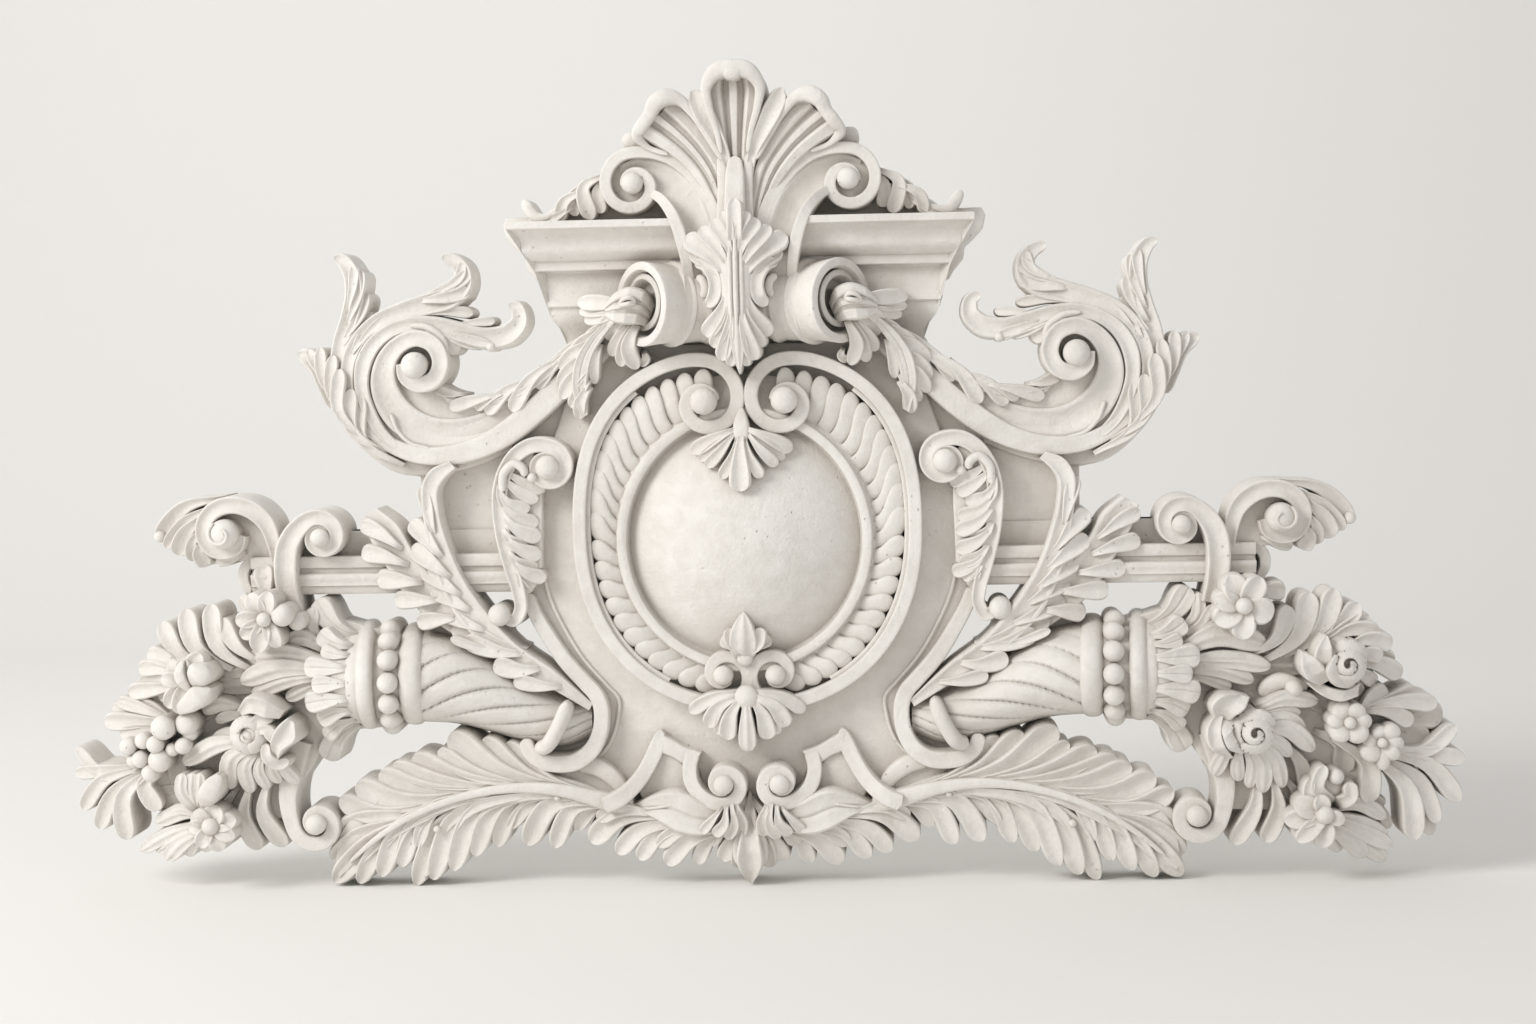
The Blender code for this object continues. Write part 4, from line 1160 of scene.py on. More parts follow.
@dataclass
class Scroll(Assembly):
    """The great C-scroll on each side, and the leafy curls that leave its back."""

    name: str = "great_scrolls"
    seed: int = 6
    eye: Place = (329, 188)
    web: tuple[Place, ...] = (
        (206, 150), (236, 120), (262, 104), (300, 96), (350, 104), (382, 132), (397, 180), (388, 214),
        (352, 232), (318, 230), (300, 210), (298, 178), (308, 162), (290, 154), (262, 152), (240, 158),
        (206, 186),
    )

    def half(self, carve: Carver) -> None:
        """Carves the strap, the bands that wind inside it, the volute and the curls.

        Args:
            carve: the carver.
        """
        carve.blade([
            (236, 126), (262, 118), (300, 110), (336, 116), (366, 136), (384, 166),
        ], [
            (238, 100), (262, 90), (302, 79), (354, 79), (400, 116), (432, 180),
        ], (34, 34, 34, 34, 34), Section.PAD, depth=0.3)
        carve.slab(self.web, 42.0, 3.0)
        inner = [
            (240, 112), (262, 103), (284, 97), (306, 95), (328, 97), (348, 103), (366, 113), (382, 127),
            (394, 145), (402, 168),
        ]
        outer = [
            (240, 101), (262, 91), (285, 83), (307, 78), (330, 73.5), (354, 79), (380, 95), (401, 118),
            (420, 146), (433, 182),
        ]
        carve.blade(inner, outer, (33, 30, 28, 28, 28, 30), Section.SLOPE, 1.35, 50)
        carve.band([
            (130, 216, 12, 50), (158, 188, 12.5, 50), (186, 163, 12.5, 50), (212, 140, 13, 50),
            (238, 120, 13, 50), (264, 106, 11.5, 50), (300, 97, 10, 50), (334, 99, 9, 50), (364, 112, 8, 50),
            (385, 132, 7.5, 50), (396, 154, 6, 50),
        ], Section.STRAP, 120, draft=1.0)
        carve.band([
            (184, 182, 8, 44), (212, 160, 10, 44), (240, 139, 12, 44), (266, 126, 13.5, 44),
            (292, 120, 14.5, 45), (318, 121, 16, 46), (342, 132, 17, 48), (357, 150, 16, 50),
            (363, 172, 13.5, 54), (358, 194, 10.5, 58), (346, 208, 9, 60), (328, 215, 8.5, 62),
            (310, 208, 8.5, 63), (303, 190, 8.5, 64), (310, 174, 8.5, 65), (326, 169, 8, 66),
            (339, 177, 6.5, 67), (342, 190, 5, 67),
        ], Section.HOLLOW, 220, depth=0.62)
        carve.band([
            (318, 104, 2, 50), (338, 110, 2, 50.5), (350, 122, 2.2, 51), (357, 140, 2.2, 51),
        ], Section.CABLE, 30, ends=(6, 4))
        carve.band([
            (352, 106, 5, 50), (367, 121, 6, 51), (379, 143, 7, 53), (385, 168, 7.5, 55),
            (382, 191, 8.5, 56), (371, 210, 8, 56), (354, 223, 7.5, 56), (332, 229, 8, 56),
            (308, 227, 9.5, 55), (284, 220, 10.5, 53), (258, 214, 11, 50), (236, 218, 11, 48),
            (225, 231, 9, 47), (228, 244, 7, 46), (236, 247, 5, 45),
        ], Section.SPOON, 150, ends=(8, 6))
        carve.band([
            (298, 200, 3, 58), (302, 214, 4, 58), (316, 225, 4, 58), (334, 228, 3, 57),
        ], Section.CABLE, 30, ends=(6, 6))
        carve.band([
            (366, 112, 5, 50), (385, 128, 6, 51), (396, 148, 7, 52), (400, 172, 7, 53), (396, 197, 7.5, 54),
            (385, 217, 8, 54), (367, 232, 9, 54), (342, 242, 10.5, 53), (316, 249, 12, 51),
            (294, 256, 12.5, 49), (282, 268, 11, 47), (282, 283, 9, 46), (292, 293, 7, 45), (302, 296, 5, 44),
        ], Section.SPOON, 150, ends=(8, 6))
        carve.band([
            (398, 134, 6, 50), (409, 160, 7, 50), (410, 186, 8, 51), (405, 212, 9, 52), (396, 236, 10, 52),
            (391, 260, 10, 50), (394, 282, 9, 48), (403, 295, 7, 46), (411, 298, 4.5, 45),
        ], Section.SPOON, 90, ends=(8, 6))
        carve.fingers((
            (300, 222, 276, 214, 252, 205, 6, 52, 47), (308, 222, 286, 212, 266, 207, 6.5, 54, 48),
            (326, 222, 302, 212, 286, 202, 9, 57, 50), (290, 228, 268, 230, 250, 231, 5, 50, 46),
            (330, 238, 300, 242, 272, 239, 6, 50, 44), (326, 252, 296, 256, 274, 262, 8, 52, 46),
            (322, 256, 290, 268, 273, 280, 8, 50, 46), (312, 258, 284, 276, 281, 290, 6, 50, 45),
        ), shape=Shape.CLUB)
        carve.ball(254, 205, 5, 52)
        carve.fingers((
            (404, 205, 386, 224, 377, 243, 7, 54, 46), (402, 214, 386, 240, 380, 262, 8, 54, 46),
            (400, 226, 388, 256, 384, 284, 7, 54, 46), (398, 240, 392, 266, 390, 290, 6, 54, 46),
            (390, 206, 372, 226, 352, 240, 6, 54, 50), (396, 198, 386, 214, 378, 226, 6, 54, 50),
            (346, 88, 386, 114, 386, 158, 8, 54, 54), (362, 100, 395, 124, 396, 166, 8, 55, 56),
            (380, 112, 408, 144, 406, 186, 8.5, 56, 58), (396, 132, 416, 162, 413, 200, 7, 54, 54),
            (404, 146, 424, 174, 427, 208, 7, 50, 50), (412, 158, 428, 184, 440, 206, 6, 48, 46),
        ), shape=Shape.CLUB)
        carve.band([
            (416, 146, 7, 42), (425, 170, 8, 44), (433, 190, 9, 45), (445, 200, 8, 44), (452, 202, 5, 42),
        ], Section.SPOON, 40, ends=(10, 7))
        carve.blade([
            (148, 222), (178, 205), (201, 186), (221, 171), (242, 160), (268, 155), (296, 157), (312, 165),
        ], [
            (142, 212), (168, 196), (190, 178), (212, 162), (234, 152), (262, 146), (290, 146), (300, 150),
        ], (58, 56, 54, 52, 50, 48), Section.RIDGED, count=60)
        carve.fingers((
            (186, 192, 214, 172, 235, 140, 9, 56, 50), (214, 172, 240, 160, 261, 138, 8.5, 54, 49),
            (238, 160, 256, 154, 272, 143, 6, 52, 48), (246, 158, 272, 152, 298, 145, 7.5, 52, 48),
            (160, 206, 186, 190, 208, 162, 6, 56, 50), (280, 158, 298, 160, 313, 166, 6, 50, 46),
        ), shape=Shape.CLUB)
        carve.ball(*self.eye, 13.5, 76, 0.9)


@dataclass
class Bracket(Assembly):
    """The bracket beside the cartouche: a volute, a leafy band and a small scroll at its foot."""

    name: str = "side_brackets"
    seed: int = 7
    eye: Place = (198, 84)

    def half(self, carve: Carver) -> None:
        """Carves the band with its volute, and the fingers along it.

        Args:
            carve: the carver.
        """
        band = [
            (246, -66, 6, 58), (237, -70, 6.5, 58), (230, -60, 6.5, 58), (231, -42, 7, 58),
            (237, -20, 7.5, 58), (243, 5, 8, 59), (247, 32, 8, 60), (247, 58, 8, 62), (240, 82, 8, 63),
            (228, 98, 8, 63), (213, 106, 8, 63),
        ]
        carve.band(band + volute(self.eye, 80, 440, (21.5, 6.5), (8, 6), (63, 63), 1.0)[1:], Section.HOLLOW,
                   210, ends=(5, 0), depth=0.8)
        carve.slab((
            (228, -30), (208, -18), (206, 40), (206, 62), (204, 84), (214, 97), (236, 86), (246, 60),
            (244, 10),
        ), 50, 2)
        carve.slab((
            (204, 90), (216, 101), (234, 96), (245, 76), (247, 44), (236, 36), (226, 52), (212, 64),
        ), 57, 2)
        carve.ball(251, -64, 11.5, 68)
        carve.eye(*self.eye, 12, 73)
        carve.band([
            (244, 60, 4, 66), (241, 80, 4.5, 68), (231, 88, 4.5, 68), (222, 82, 4.5, 68), (221, 75, 4, 66),
        ], Section.CABLE, 30, ends=(4, 4))
        carve.ball(214, 74, 5.5, 66)
        carve.fingers((
            (244, 84, 228, 72, 203, 60, 7, 62, 56), (246, 76, 230, 62, 210, 50, 8, 64, 56),
            (248, 64, 238, 48, 218, 42, 8, 64, 56), (248, 70, 244, 52, 236, 42, 7, 65, 58),
            (247, 50, 232, 34, 210, 27, 8.5, 63, 54), (246, 38, 230, 22, 208, 12, 8.5, 63, 54),
            (246, 24, 236, 10, 222, 4, 8, 62, 55), (244, 16, 228, 2, 208, -6, 8.5, 62, 53),
            (242, 2, 230, -12, 212, -19, 8, 61, 53), (239, -8, 222, -22, 204, -29, 8, 60, 52),
            (236, -18, 226, -28, 214, -35, 6.5, 59, 52), (233, -24, 227, -34, 222, -44, 6, 58, 51),
        ), shape=Shape.CLUB)


@dataclass
class Branches(Assembly):
    """The two leafy branches that rise over the rail."""

    name: str = "leaf_branches"
    seed: int = 8

    def half(self, carve: Carver) -> None:
        """Carves the lower branch, and the tall one in front of it.

        Args:
            carve: the carver.
        """
        carve.blade([
            (262, -92), (290, -60), (314, -30), (336, 0), (354, 30), (374, 45),
        ], [
            (272, -100), (308, -78), (342, -50), (366, -14), (383, 16), (390, 36),
        ], (48, 52, 55, 55, 53, 48), Section.HOLLOW, count=44, depth=0.5)
        carve.fingers((
            (348, 4, 370, 20, 391, 30, 9, 60, 50), (342, -12, 368, -3, 391, 1, 10, 60, 51),
            (328, -30, 352, -28, 376, -26, 10.5, 61, 52), (310, -48, 336, -48, 359, -47, 11, 61, 53),
            (292, -66, 316, -68, 336, -71, 9.5, 60, 54),
        ), shape=Shape.CLUB)
        carve.blade([
            (160, -156), (200, -119), (236, -92), (262, -62), (285, -28), (301, 10), (309, 42), (309, 64),
            (299, 78), (292, 84),
        ], [
            (164, -163), (216, -130), (262, -100), (294, -66), (312, -28), (321, 10), (326, 44), (326, 68),
            (316, 84), (298, 91),
        ], (48, 53, 57, 59, 61, 61, 61, 61, 60, 56), Section.HOLLOW, count=84, depth=0.55)
        carve.fingers((
            (314, 16, 320, 42, 327, 66, 8, 64, 56), (306, -6, 322, 14, 339, 32, 10, 65, 55),
            (298, -26, 318, -10, 339, 6, 10.5, 65, 55), (288, -44, 308, -30, 328, -16, 10.5, 65, 55),
            (278, -60, 298, -48, 320, -36, 10.5, 64, 55), (262, -80, 288, -70, 315, -56, 10, 63, 55),
            (226, -102, 268, -88, 300, -74, 12, 58, 56), (224, -104, 256, -100, 287, -88, 10, 58, 60),
            (208, -118, 234, -120, 258, -113, 10.5, 58, 62), (186, -138, 212, -136, 238, -130, 8.5, 54, 62),
            (240, -100, 268, -98, 300, -86, 5, 52, 66),
        ), shape=Shape.CLUB)


@dataclass
class Rail(Assembly):
    """The moulded rail that carries the branches and the wings."""

    name: str = "rail"
    seed: int = 9
    start: float = 236.0
    end: float = 505.0

    def half(self, carve: Carver) -> None:
        """Carves the rail's run of fillets and its shallow hollow.

        Args:
            carve: the carver.
        """
        profile = [
            (-3.0, 34.0), (-3.0, 45.5), (-4.0, 46.5), (-13.5, 46.5), (-15.0, 45.5), (-15.8, 42.5),
            (-20.0, 42.5), (-20.8, 48.5), (-21.8, 49.5),
        ]
        profile += ogee((-22.4, 49.5), (-33.0, 47.0), True, 6) + [(-34.0, 44.0), (-40.0, 43.0), (-42.0, 41.0)]
        carve.moulding(self.start, profile, [self.end] * len(profile))
        carve.slab([(self.start, 21), (self.end, 21), (self.end, -4), (self.start, -4)], 29.0, 1.2)


@dataclass
class Wing(Assembly):
    """The two volutes at the end of the rail, with their leaf."""

    name: str = "wing_volutes"
    seed: int = 10
    inner_eye: Place = (430, 17)
    outer_eye: Place = (528, 22)
    web: tuple[Place, ...] = (
        (482, -8), (484, 22), (496, 44), (515, 54), (538, 53), (556, 38), (562, 22), (552, 4), (530, -6),
        (504, -8),
    )

    def half(self, carve: Carver) -> None:
        """Carves the upright band and its volute, the arched band and the leaf tips.

        Args:
            carve: the carver.
        """
        carve.slab(self.web, 40.0)
        carve.band([
            (460, -62, 10, 56), (466, -36, 11.5, 58), (467, -12, 12, 60), (463, 10, 11.5, 62),
            (452, 27, 10, 62),
        ] + volute(self.inner_eye, 50, 440, (22, 5), (8.5, 6), (62, 60), 1.15)[1:], Section.HOLLOW, 150,
            depth=0.8)
        carve.eye(*self.inner_eye, 9.5, 71)
        carve.band([
            (478, -10, 6, 46), (480, 12, 7.5, 52), (487, 33, 9, 56), (501, 46, 9.5, 58), (520, 51, 9, 59),
            (538, 46, 9, 59), (549, 33, 8.5, 58), (550, 18, 8, 57), (542, 6, 7.5, 56), (528, 3, 7, 56),
            (515, 9, 6, 57), (511, 20, 5, 58),
        ], Section.HOLLOW, 110, depth=0.8)
        carve.ball(528, 22, 15, 73, 0.9)
        carve.band(volute((530, 22), 60, -300, (13, 7), (2.2, 1.6), (69, 75)), Section.CABLE, 40, ends=(5, 5))
        carve.fingers((
            (528, 58, 568, 50, 600, 17, 9.5, 53, 49), (540, 50, 568, 36, 592, 8, 7.5, 55, 49),
            (548, 42, 570, 22, 580, 0, 10, 55, 48), (552, 28, 564, 10, 564, -6, 7, 55, 47),
            (550, 16, 557, 2, 550, -11, 8.5, 54, 46), (510, 2, 530, -6, 542, -7, 6, 50, 43),
        ), shape=Shape.CLUB, tilt=0.3)
        carve.ball(597, 20, 6.5, 53)
        carve.band([
            (503, -6, 5, 40), (513, -14, 5.5, 40), (515, -28, 5.5, 38), (509, -40, 4, 38),
        ], Section.STRAP, 24, ends=(4, 4))


@dataclass
class Cornucopia(Assembly):
    """The fluted horn, its beaded collar and the leafy mouth."""

    name: str = "cornucopias"
    seed: int = 11
    mouth_z: float = -127.0
    beads: int = 7
    flute_pitch: float = 0.028
    flute_angle: float = 0.5
    flute_width: float = 0.055
    flute_depth: float = 0.055
    base: float = 18.0
    lean: float = 0.1

    def section(
        self, x: float, half: float, crest: float, z: float = mouth_z, flute: float = 0.0
    ) -> list[Row]:
        """Places over the horn's rounded front.

        Args:
            x: place along the horn, where it meets the back.
            half: its half height across.
            crest: its greatest height off the back.
            z: the middle of it.
            flute: how deep the flutes are cut, as a share of its height.

        Returns:
            Places from its lower side to its upper.
        """
        angles = np.linspace(-math.pi / 2, math.pi / 2, 73)
        phase = angles / self.flute_angle + x * self.flute_pitch
        gap = np.abs(phase - np.rint(phase))
        groove = np.exp(-((gap / self.flute_width) ** 2)) + 0.45 * np.abs(2.0 * gap - 1.0) ** 2.5
        hs = self.base + (crest - self.base) * np.cos(angles) * (1.0 - flute * groove)
        xs = x - self.lean * (hs - self.base)
        zs = z + half * np.sin(angles)
        return [(x, zs[0], 0.0)] + list(zip(xs, zs, hs)) + [(x, zs[-1], 0.0)]

    def hoop(self, carve: Carver, x: float, wide: float, half: float, crest: float, round_off: float) -> None:
        """Carves one hoop about the horn.

        Args:
            carve: the carver.
            x: its middle, where it meets the back.
            wide: its half width along the horn.
            half: its half height across the horn.
            crest: its greatest height off the back.
            round_off: how far its edges fall below its crest.
        """
        rings = []
        for across in np.sin(np.linspace(-math.pi / 2, math.pi / 2, 13)):
            drop = round_off * (1.0 - (1.0 - abs(across) ** 2.6) ** 0.6)
            rings.append(self.section(x + across * wide, half - drop, crest - drop))
        carve.sweep(np.array(rings))

    def half(self, carve: Carver) -> None:
        """Carves the horn from its tail to its leafy mouth.

        Args:
            carve: the carver.
        """
        centre = smooth_path([
            (164, -176, 18, 44), (190, -177, 26, 55), (214, -171, 31, 63), (238, -161, 35, 70),
            (264, -148, 40, 77), (302, -133, 45, 85), (344, -127, 48, 90),
        ], 84)
        carve.sweep(np.array([self.section(x, half, crest, z, self.flute_depth) for x, z, half, crest in
                    centre]))
        for x, wide, half, crest, round_off in (
            (345, 11.5, 51.5, 95, 8), (368, 20, 47, 86, 1.5), (391, 9, 55.5, 98, 8), (402, 8, 51.5, 93, 3),
        ):
            self.hoop(carve, x, wide, half, crest, round_off)
        for k in range(self.beads):
            angle = math.pi * ((k + 0.5) / self.beads - 0.5)
            x = 366 - self.lean * 64 * math.cos(angle)
            carve.ball(x, self.mouth_z + 49 * math.sin(angle), 10.6, 42 + 60 * math.cos(angle))
        sheet = [self.section(x, half, crest) for x, half, crest in (
            (396, 50, 89), (406, 51, 90), (416, 53, 90), (423, 56, 89), (428, 59, 86), (431, 60, 81))]
        carve.sweep(np.array(sheet))
        for x0, x2, z2, wide, spread, low, high in (
            (398, 439, -47, 13, -84, 60, 50), (398, 432, -78, 11, -92, 80, 74),
            (398, 428, -94, 7.5, -100, 86, 82), (398, 445, -111, 12, -112, 92, 86),
            (398, 437, -129, 10, -127, 94, 90), (398, 445, -148, 12, -142, 92, 86),
            (398, 434, -167, 10.5, -155, 84, 77), (398, 430, -186, 9, -166, 74, 64),
            (398, 434, -210, 13, -172, 60, 50),
        ):
            middle = ((x0 + x2) / 2 + 4, (spread + z2) / 2 - 0.12 * (z2 - spread))
            carve.lobe(((x0, spread), middle, (x2, z2)), wide, (low, high), Section.VEINED, Shape.CLUB, 1.0)
        roll = [
            (184, -152, 6, 66), (188, -166, 7.5, 74), (197, -184, 7.5, 76), (207, -197, 7.5, 73),
            (218, -200, 6.5, 64),
        ]
        carve.band(roll, Section.CABLE, 44, ends=(8, 6))


@dataclass
class Flowers(Assembly):
    """The flowers and leaves that pour out of the horns; the two heaps are not alike."""

    name: str = "flower_heaps"
    seed: int = 12

    def petals(
        self, carve: Carver, heart: Row, table: Sequence[Row], section: Section = Section.SPOON
    ) -> None:
        """Carves a flower of round cupped petals about a raised heart.

        Args:
            carve: the carver.
            heart: (x, z, radius, height) of its heart.
            table: (x, z) of each petal's tip, and its half width.
            section: cross-section of a petal.
        """
        x, z, radius, height = heart
        for k, (tip_x, tip_z, wide) in enumerate(table):
            path = ((x, z), ((x + tip_x) / 2, (z + tip_z) / 2), (tip_x, tip_z))
            carve.lobe(path, wide, (height - 12, height - 7 + 2.5 * (k % 2)), section, Shape.PETAL, 4.0, 0.12)
        carve.ball(x, z, radius, height)

    def shells(self, carve: Carver, centre: Place, table: Sequence[Row]) -> None:
        """Carves cupped petals about a centre.

        Args:
            carve: the carver.
            centre: the middle of the flower.
            table: start in degrees, degrees turned, radius, half width and height of each petal.
        """
        for start, turn, radius, wide, height in table:
            radii = (radius * 1.04, radius * 0.96)
            rows = volute(centre, start, turn, radii, (wide, wide), (height, height), 1.0)
            ends = [abs(2.0 * k / (len(rows) - 1) - 1.0) ** 3 for k in range(len(rows))]
            rows = [(x, z, w, h - 5.0 * end) for (x, z, w, h), end in zip(rows, ends)]
            carve.band(rows, Section.SHELL, 26, ends=(wide * 1.1, wide * 1.1), depth=0.9)

    def right_heap(self, carve: Carver) -> None:
        """Carves the heap at the right: two roses, three small flowers, a tulip and the sprays about them.

        Args:
            carve: the carver.
        """
        carve.fingers((
            (500, -60, 516, -52, 534, -52, 10, 52, 48), (500, -112, 522, -98, 536, -66, 10, 64, 58),
            (512, -120, 544, -96, 557, -53, 12, 62, 56), (530, -116, 566, -92, 582, -50, 12, 60, 54),
            (550, -108, 586, -88, 605, -65, 11, 58, 52), (560, -104, 594, -88, 616, -78, 9, 60, 50),
            (568, -104, 598, -90, 625, -92, 9, 62, 54), (590, -108, 612, -100, 638, -107, 10, 62, 52),
            (592, -118, 612, -114, 627, -117, 8, 68, 60), (590, -120, 616, -116, 641, -123, 9, 56, 48),
            (590, -124, 622, -124, 647, -138, 10, 62, 52), (588, -130, 606, -134, 621, -145, 8, 62, 54),
            (560, -150, 600, -148, 606, -156, 9, 58, 54), (602, -172, 616, -158, 632, -150, 9.5, 64, 56),
            (606, -168, 640, -160, 662, -152, 9.5, 62, 54), (606, -166, 650, -162, 681, -166, 9, 64, 56),
            (604, -170, 634, -172, 657, -185, 9.5, 66, 56), (610, -176, 656, -176, 690, -180, 15, 48, 40),
            (612, -192, 650, -196, 676, -204, 13, 46, 42), (618, -202, 668, -212, 700, -188, 8.5, 60, 52),
            (622, -210, 668, -214, 709, -222, 9.5, 60, 52), (618, -212, 672, -226, 704, -264, 10, 60, 52),
            (616, -214, 662, -240, 682, -286, 9, 58, 50), (622, -216, 664, -256, 678, -300, 9, 50, 42),
            (612, -214, 650, -248, 659, -302, 12, 62, 54), (578, -198, 612, -224, 612, -263, 12, 62, 60),
            (602, -256, 618, -262, 630, -270, 8, 48, 44), (600, -256, 622, -268, 636, -292, 6, 46, 42),
        ), shape=Shape.CLUB)
        carve.fingers((
            (420, -110, 470, -92, 513, -104, 13, 74, 64), (430, -116, 470, -114, 495, -117, 6, 72, 64),
            (430, -122, 476, -118, 517, -126, 10, 70, 62), (430, -126, 470, -128, 500, -140, 9.5, 70, 62),
            (430, -130, 456, -136, 478, -146, 8, 66, 62), (420, -96, 452, -84, 462, -64, 8, 66, 56),
            (424, -92, 446, -74, 448, -52, 8, 60, 52), (430, -104, 470, -84, 500, -92, 8, 62, 60),
            (430, -120, 480, -104, 545, -108, 10, 52, 52), (440, -128, 490, -124, 560, -128, 12, 46, 50),
        ), Section.RIDGED)
        carve.fingers((
            (500, -226, 502, -262, 480, -306, 10, 66, 50), (516, -232, 524, -268, 512, -304, 11, 66, 50),
            (530, -236, 546, -262, 540, -290, 9, 52, 44), (522, -196, 544, -220, 556, -256, 9, 60, 56),
            (560, -192, 588, -206, 590, -236, 12, 54, 48), (516, -150, 560, -160, 600, -176, 14, 48, 46),
            (588, -226, 606, -240, 604, -262, 9, 46, 42),
        ), shape=Shape.CLUB)
        carve.fingers((
            (500, -166, 528, -156, 562, -160, 8.5, 82, 68), (504, -170, 524, -166, 545, -171, 5, 80, 68),
            (500, -178, 530, -176, 549, -190, 8.5, 82, 68), (498, -184, 532, -186, 558, -209, 9.5, 84, 68),
            (496, -190, 520, -198, 535, -214, 8, 84, 70), (494, -194, 516, -212, 528, -246, 9, 84, 66),
            (490, -198, 506, -220, 508, -251, 9, 84, 66), (488, -202, 496, -222, 494, -246, 7, 82, 66),
            (482, -202, 482, -222, 484, -239, 7, 82, 66), (476, -200, 466, -218, 460, -234, 8, 78, 62),
        ), Section.RIDGED)
        carve.lobe(((552, -146), (526, -140), (506, -154)), 8.5, (70, 60), Section.CROWNED)
        carve.ball(538, -146, 9, 78)
        self.petals(carve, (487, -62, 8.5, 98), (
            (474, -32, 14), (504, -34, 13), (516, -71, 14), (485, -95, 13), (459, -78, 13), (459, -54, 11),
        ))
        self.petals(carve, (590, -179, 6, 90), (
            (578, -160, 11), (602, -162, 9), (612, -178, 9), (604, -198, 12), (574, -196, 11), (568, -176, 8),
        ), Section.CROWNED)
        self.petals(carve, (622, -200, 5, 84), (
            (620, -184, 9), (638, -184, 9), (644, -202, 8), (638, -216, 8), (624, -228, 8), (604, -216, 11),
            (604, -198, 8),
        ), Section.CROWNED)
        self.petals(carve, (565, -270, 9.5, 92), (
            (536, -256, 12), (560, -250, 9), (526, -276, 11), (538, -296, 10), (562, -303, 13),
            (584, -276, 8), (552, -284, 8),
        ))
        carve.fingers((
            (572, -262, 590, -256, 606, -262, 8, 62, 54), (574, -268, 604, -264, 631, -280, 9, 62, 52),
            (574, -274, 606, -284, 633, -298, 8, 60, 50), (572, -276, 606, -292, 638, -309, 9, 62, 50),
            (568, -282, 600, -298, 632, -324, 10, 58, 46), (566, -284, 590, -296, 611, -319, 11, 64, 52),
            (560, -286, 576, -298, 586, -314, 9, 60, 50),
        ), Section.RIDGED)
        self.rose(carve, (496, -187), 104)
        carve.blade([(456, -172), (452, -158), (462, -148), (478, -148)],
                    [(474, -174), (478, -170), (486, -164), (492, -152)], (92, 100, 100, 92), depth=1.3)
        carve.blade([(458, -168), (449, -180), (450, -198), (472, -214)],
                    [(466, -170), (464, -184), (468, -200), (476, -212)], (92, 98, 98, 84), depth=1.2)
        carve.blade([(462, -174), (464, -188), (470, -202), (484, -208)],
                    [(482, -172), (474, -184), (480, -196), (488, -206)], (90, 102, 100, 88), Section.SHELL,
                    depth=0.5)
        self.rose(carve, (586, -120), 104)
        carve.blade([(560, -134), (552, -118), (556, -102), (564, -92)],
                    [(576, -128), (572, -112), (570, -100), (567, -92)], (88, 98, 100, 96), depth=0.8)
        carve.blade([(560, -142), (544, -132), (540, -120), (543, -108)],
                    [(570, -136), (564, -122), (554, -112), (545, -108)], (88, 98, 100, 96), depth=0.8)
        carve.blade([(588, -146), (572, -140), (564, -126), (572, -110)],
                    [(596, -142), (584, -132), (576, -122), (575, -110)], (84, 98, 104, 104), Section.SHELL,
                    depth=0.5)
        carve.blade([(548, -140), (560, -150), (580, -158), (598, -154)],
                    [(560, -138), (572, -144), (586, -146), (600, -140)], (80, 88, 88, 82), Section.SPOON)
        self.tulip(carve, (576, -229), 1.0)

    def rose(self, carve: Carver, centre: Place, height: float) -> None:
        """Carves a rose's heart: petals wrapped round one another, rising to the middle.

        Args:
            carve: the carver.
            centre: the rose's middle.
            height: height of its heart off the back.
        """
        carve.ball(*centre, 20, height - 11, 0.3)
        heart = volute(centre, 215, 570, (16.5, 2.5), (6.0, 2.6), (height - 5, height + 4), 0.95)
        carve.band(heart, Section.SHELL, 130, ends=(14, 3), depth=1.1)
        self.shells(carve, centre, ((20, 120, 18.5, 5.5, height - 7), (130, 110, 18.5, 5.5, height - 8)))

    def tulip(self, carve: Carver, bud: Place, lean: float) -> None:
        """Carves a half-open flower: a bud in the cup of three petals.

        Args:
            carve: the carver.
            bud: middle of the bud.
            lean: 1 where the cup leans to the left of the bud, and -1 where it leans to the right.
        """
        x, z = bud
        carve.ball(x - 5 * lean, z - 12, 15, 76, 0.4)
        carve.ball(x + lean, z - 4, 8, 86)
        for path, wide in (
            (((x - 2 * lean, z - 32), (x - 18 * lean, z - 14), (x - 11 * lean, z + 8)), 7.5),
            (((x - 4 * lean, z - 34), (x - 26 * lean, z - 24), (x - 24 * lean, z - 4)), 6.5),
            (((x + 2 * lean, z - 32), (x + 14 * lean, z - 24), (x + 13 * lean, z - 9)), 7.5),
        ):
            carve.lobe(path, wide, (78, 86), Section.SPOON, Shape.TONGUE)

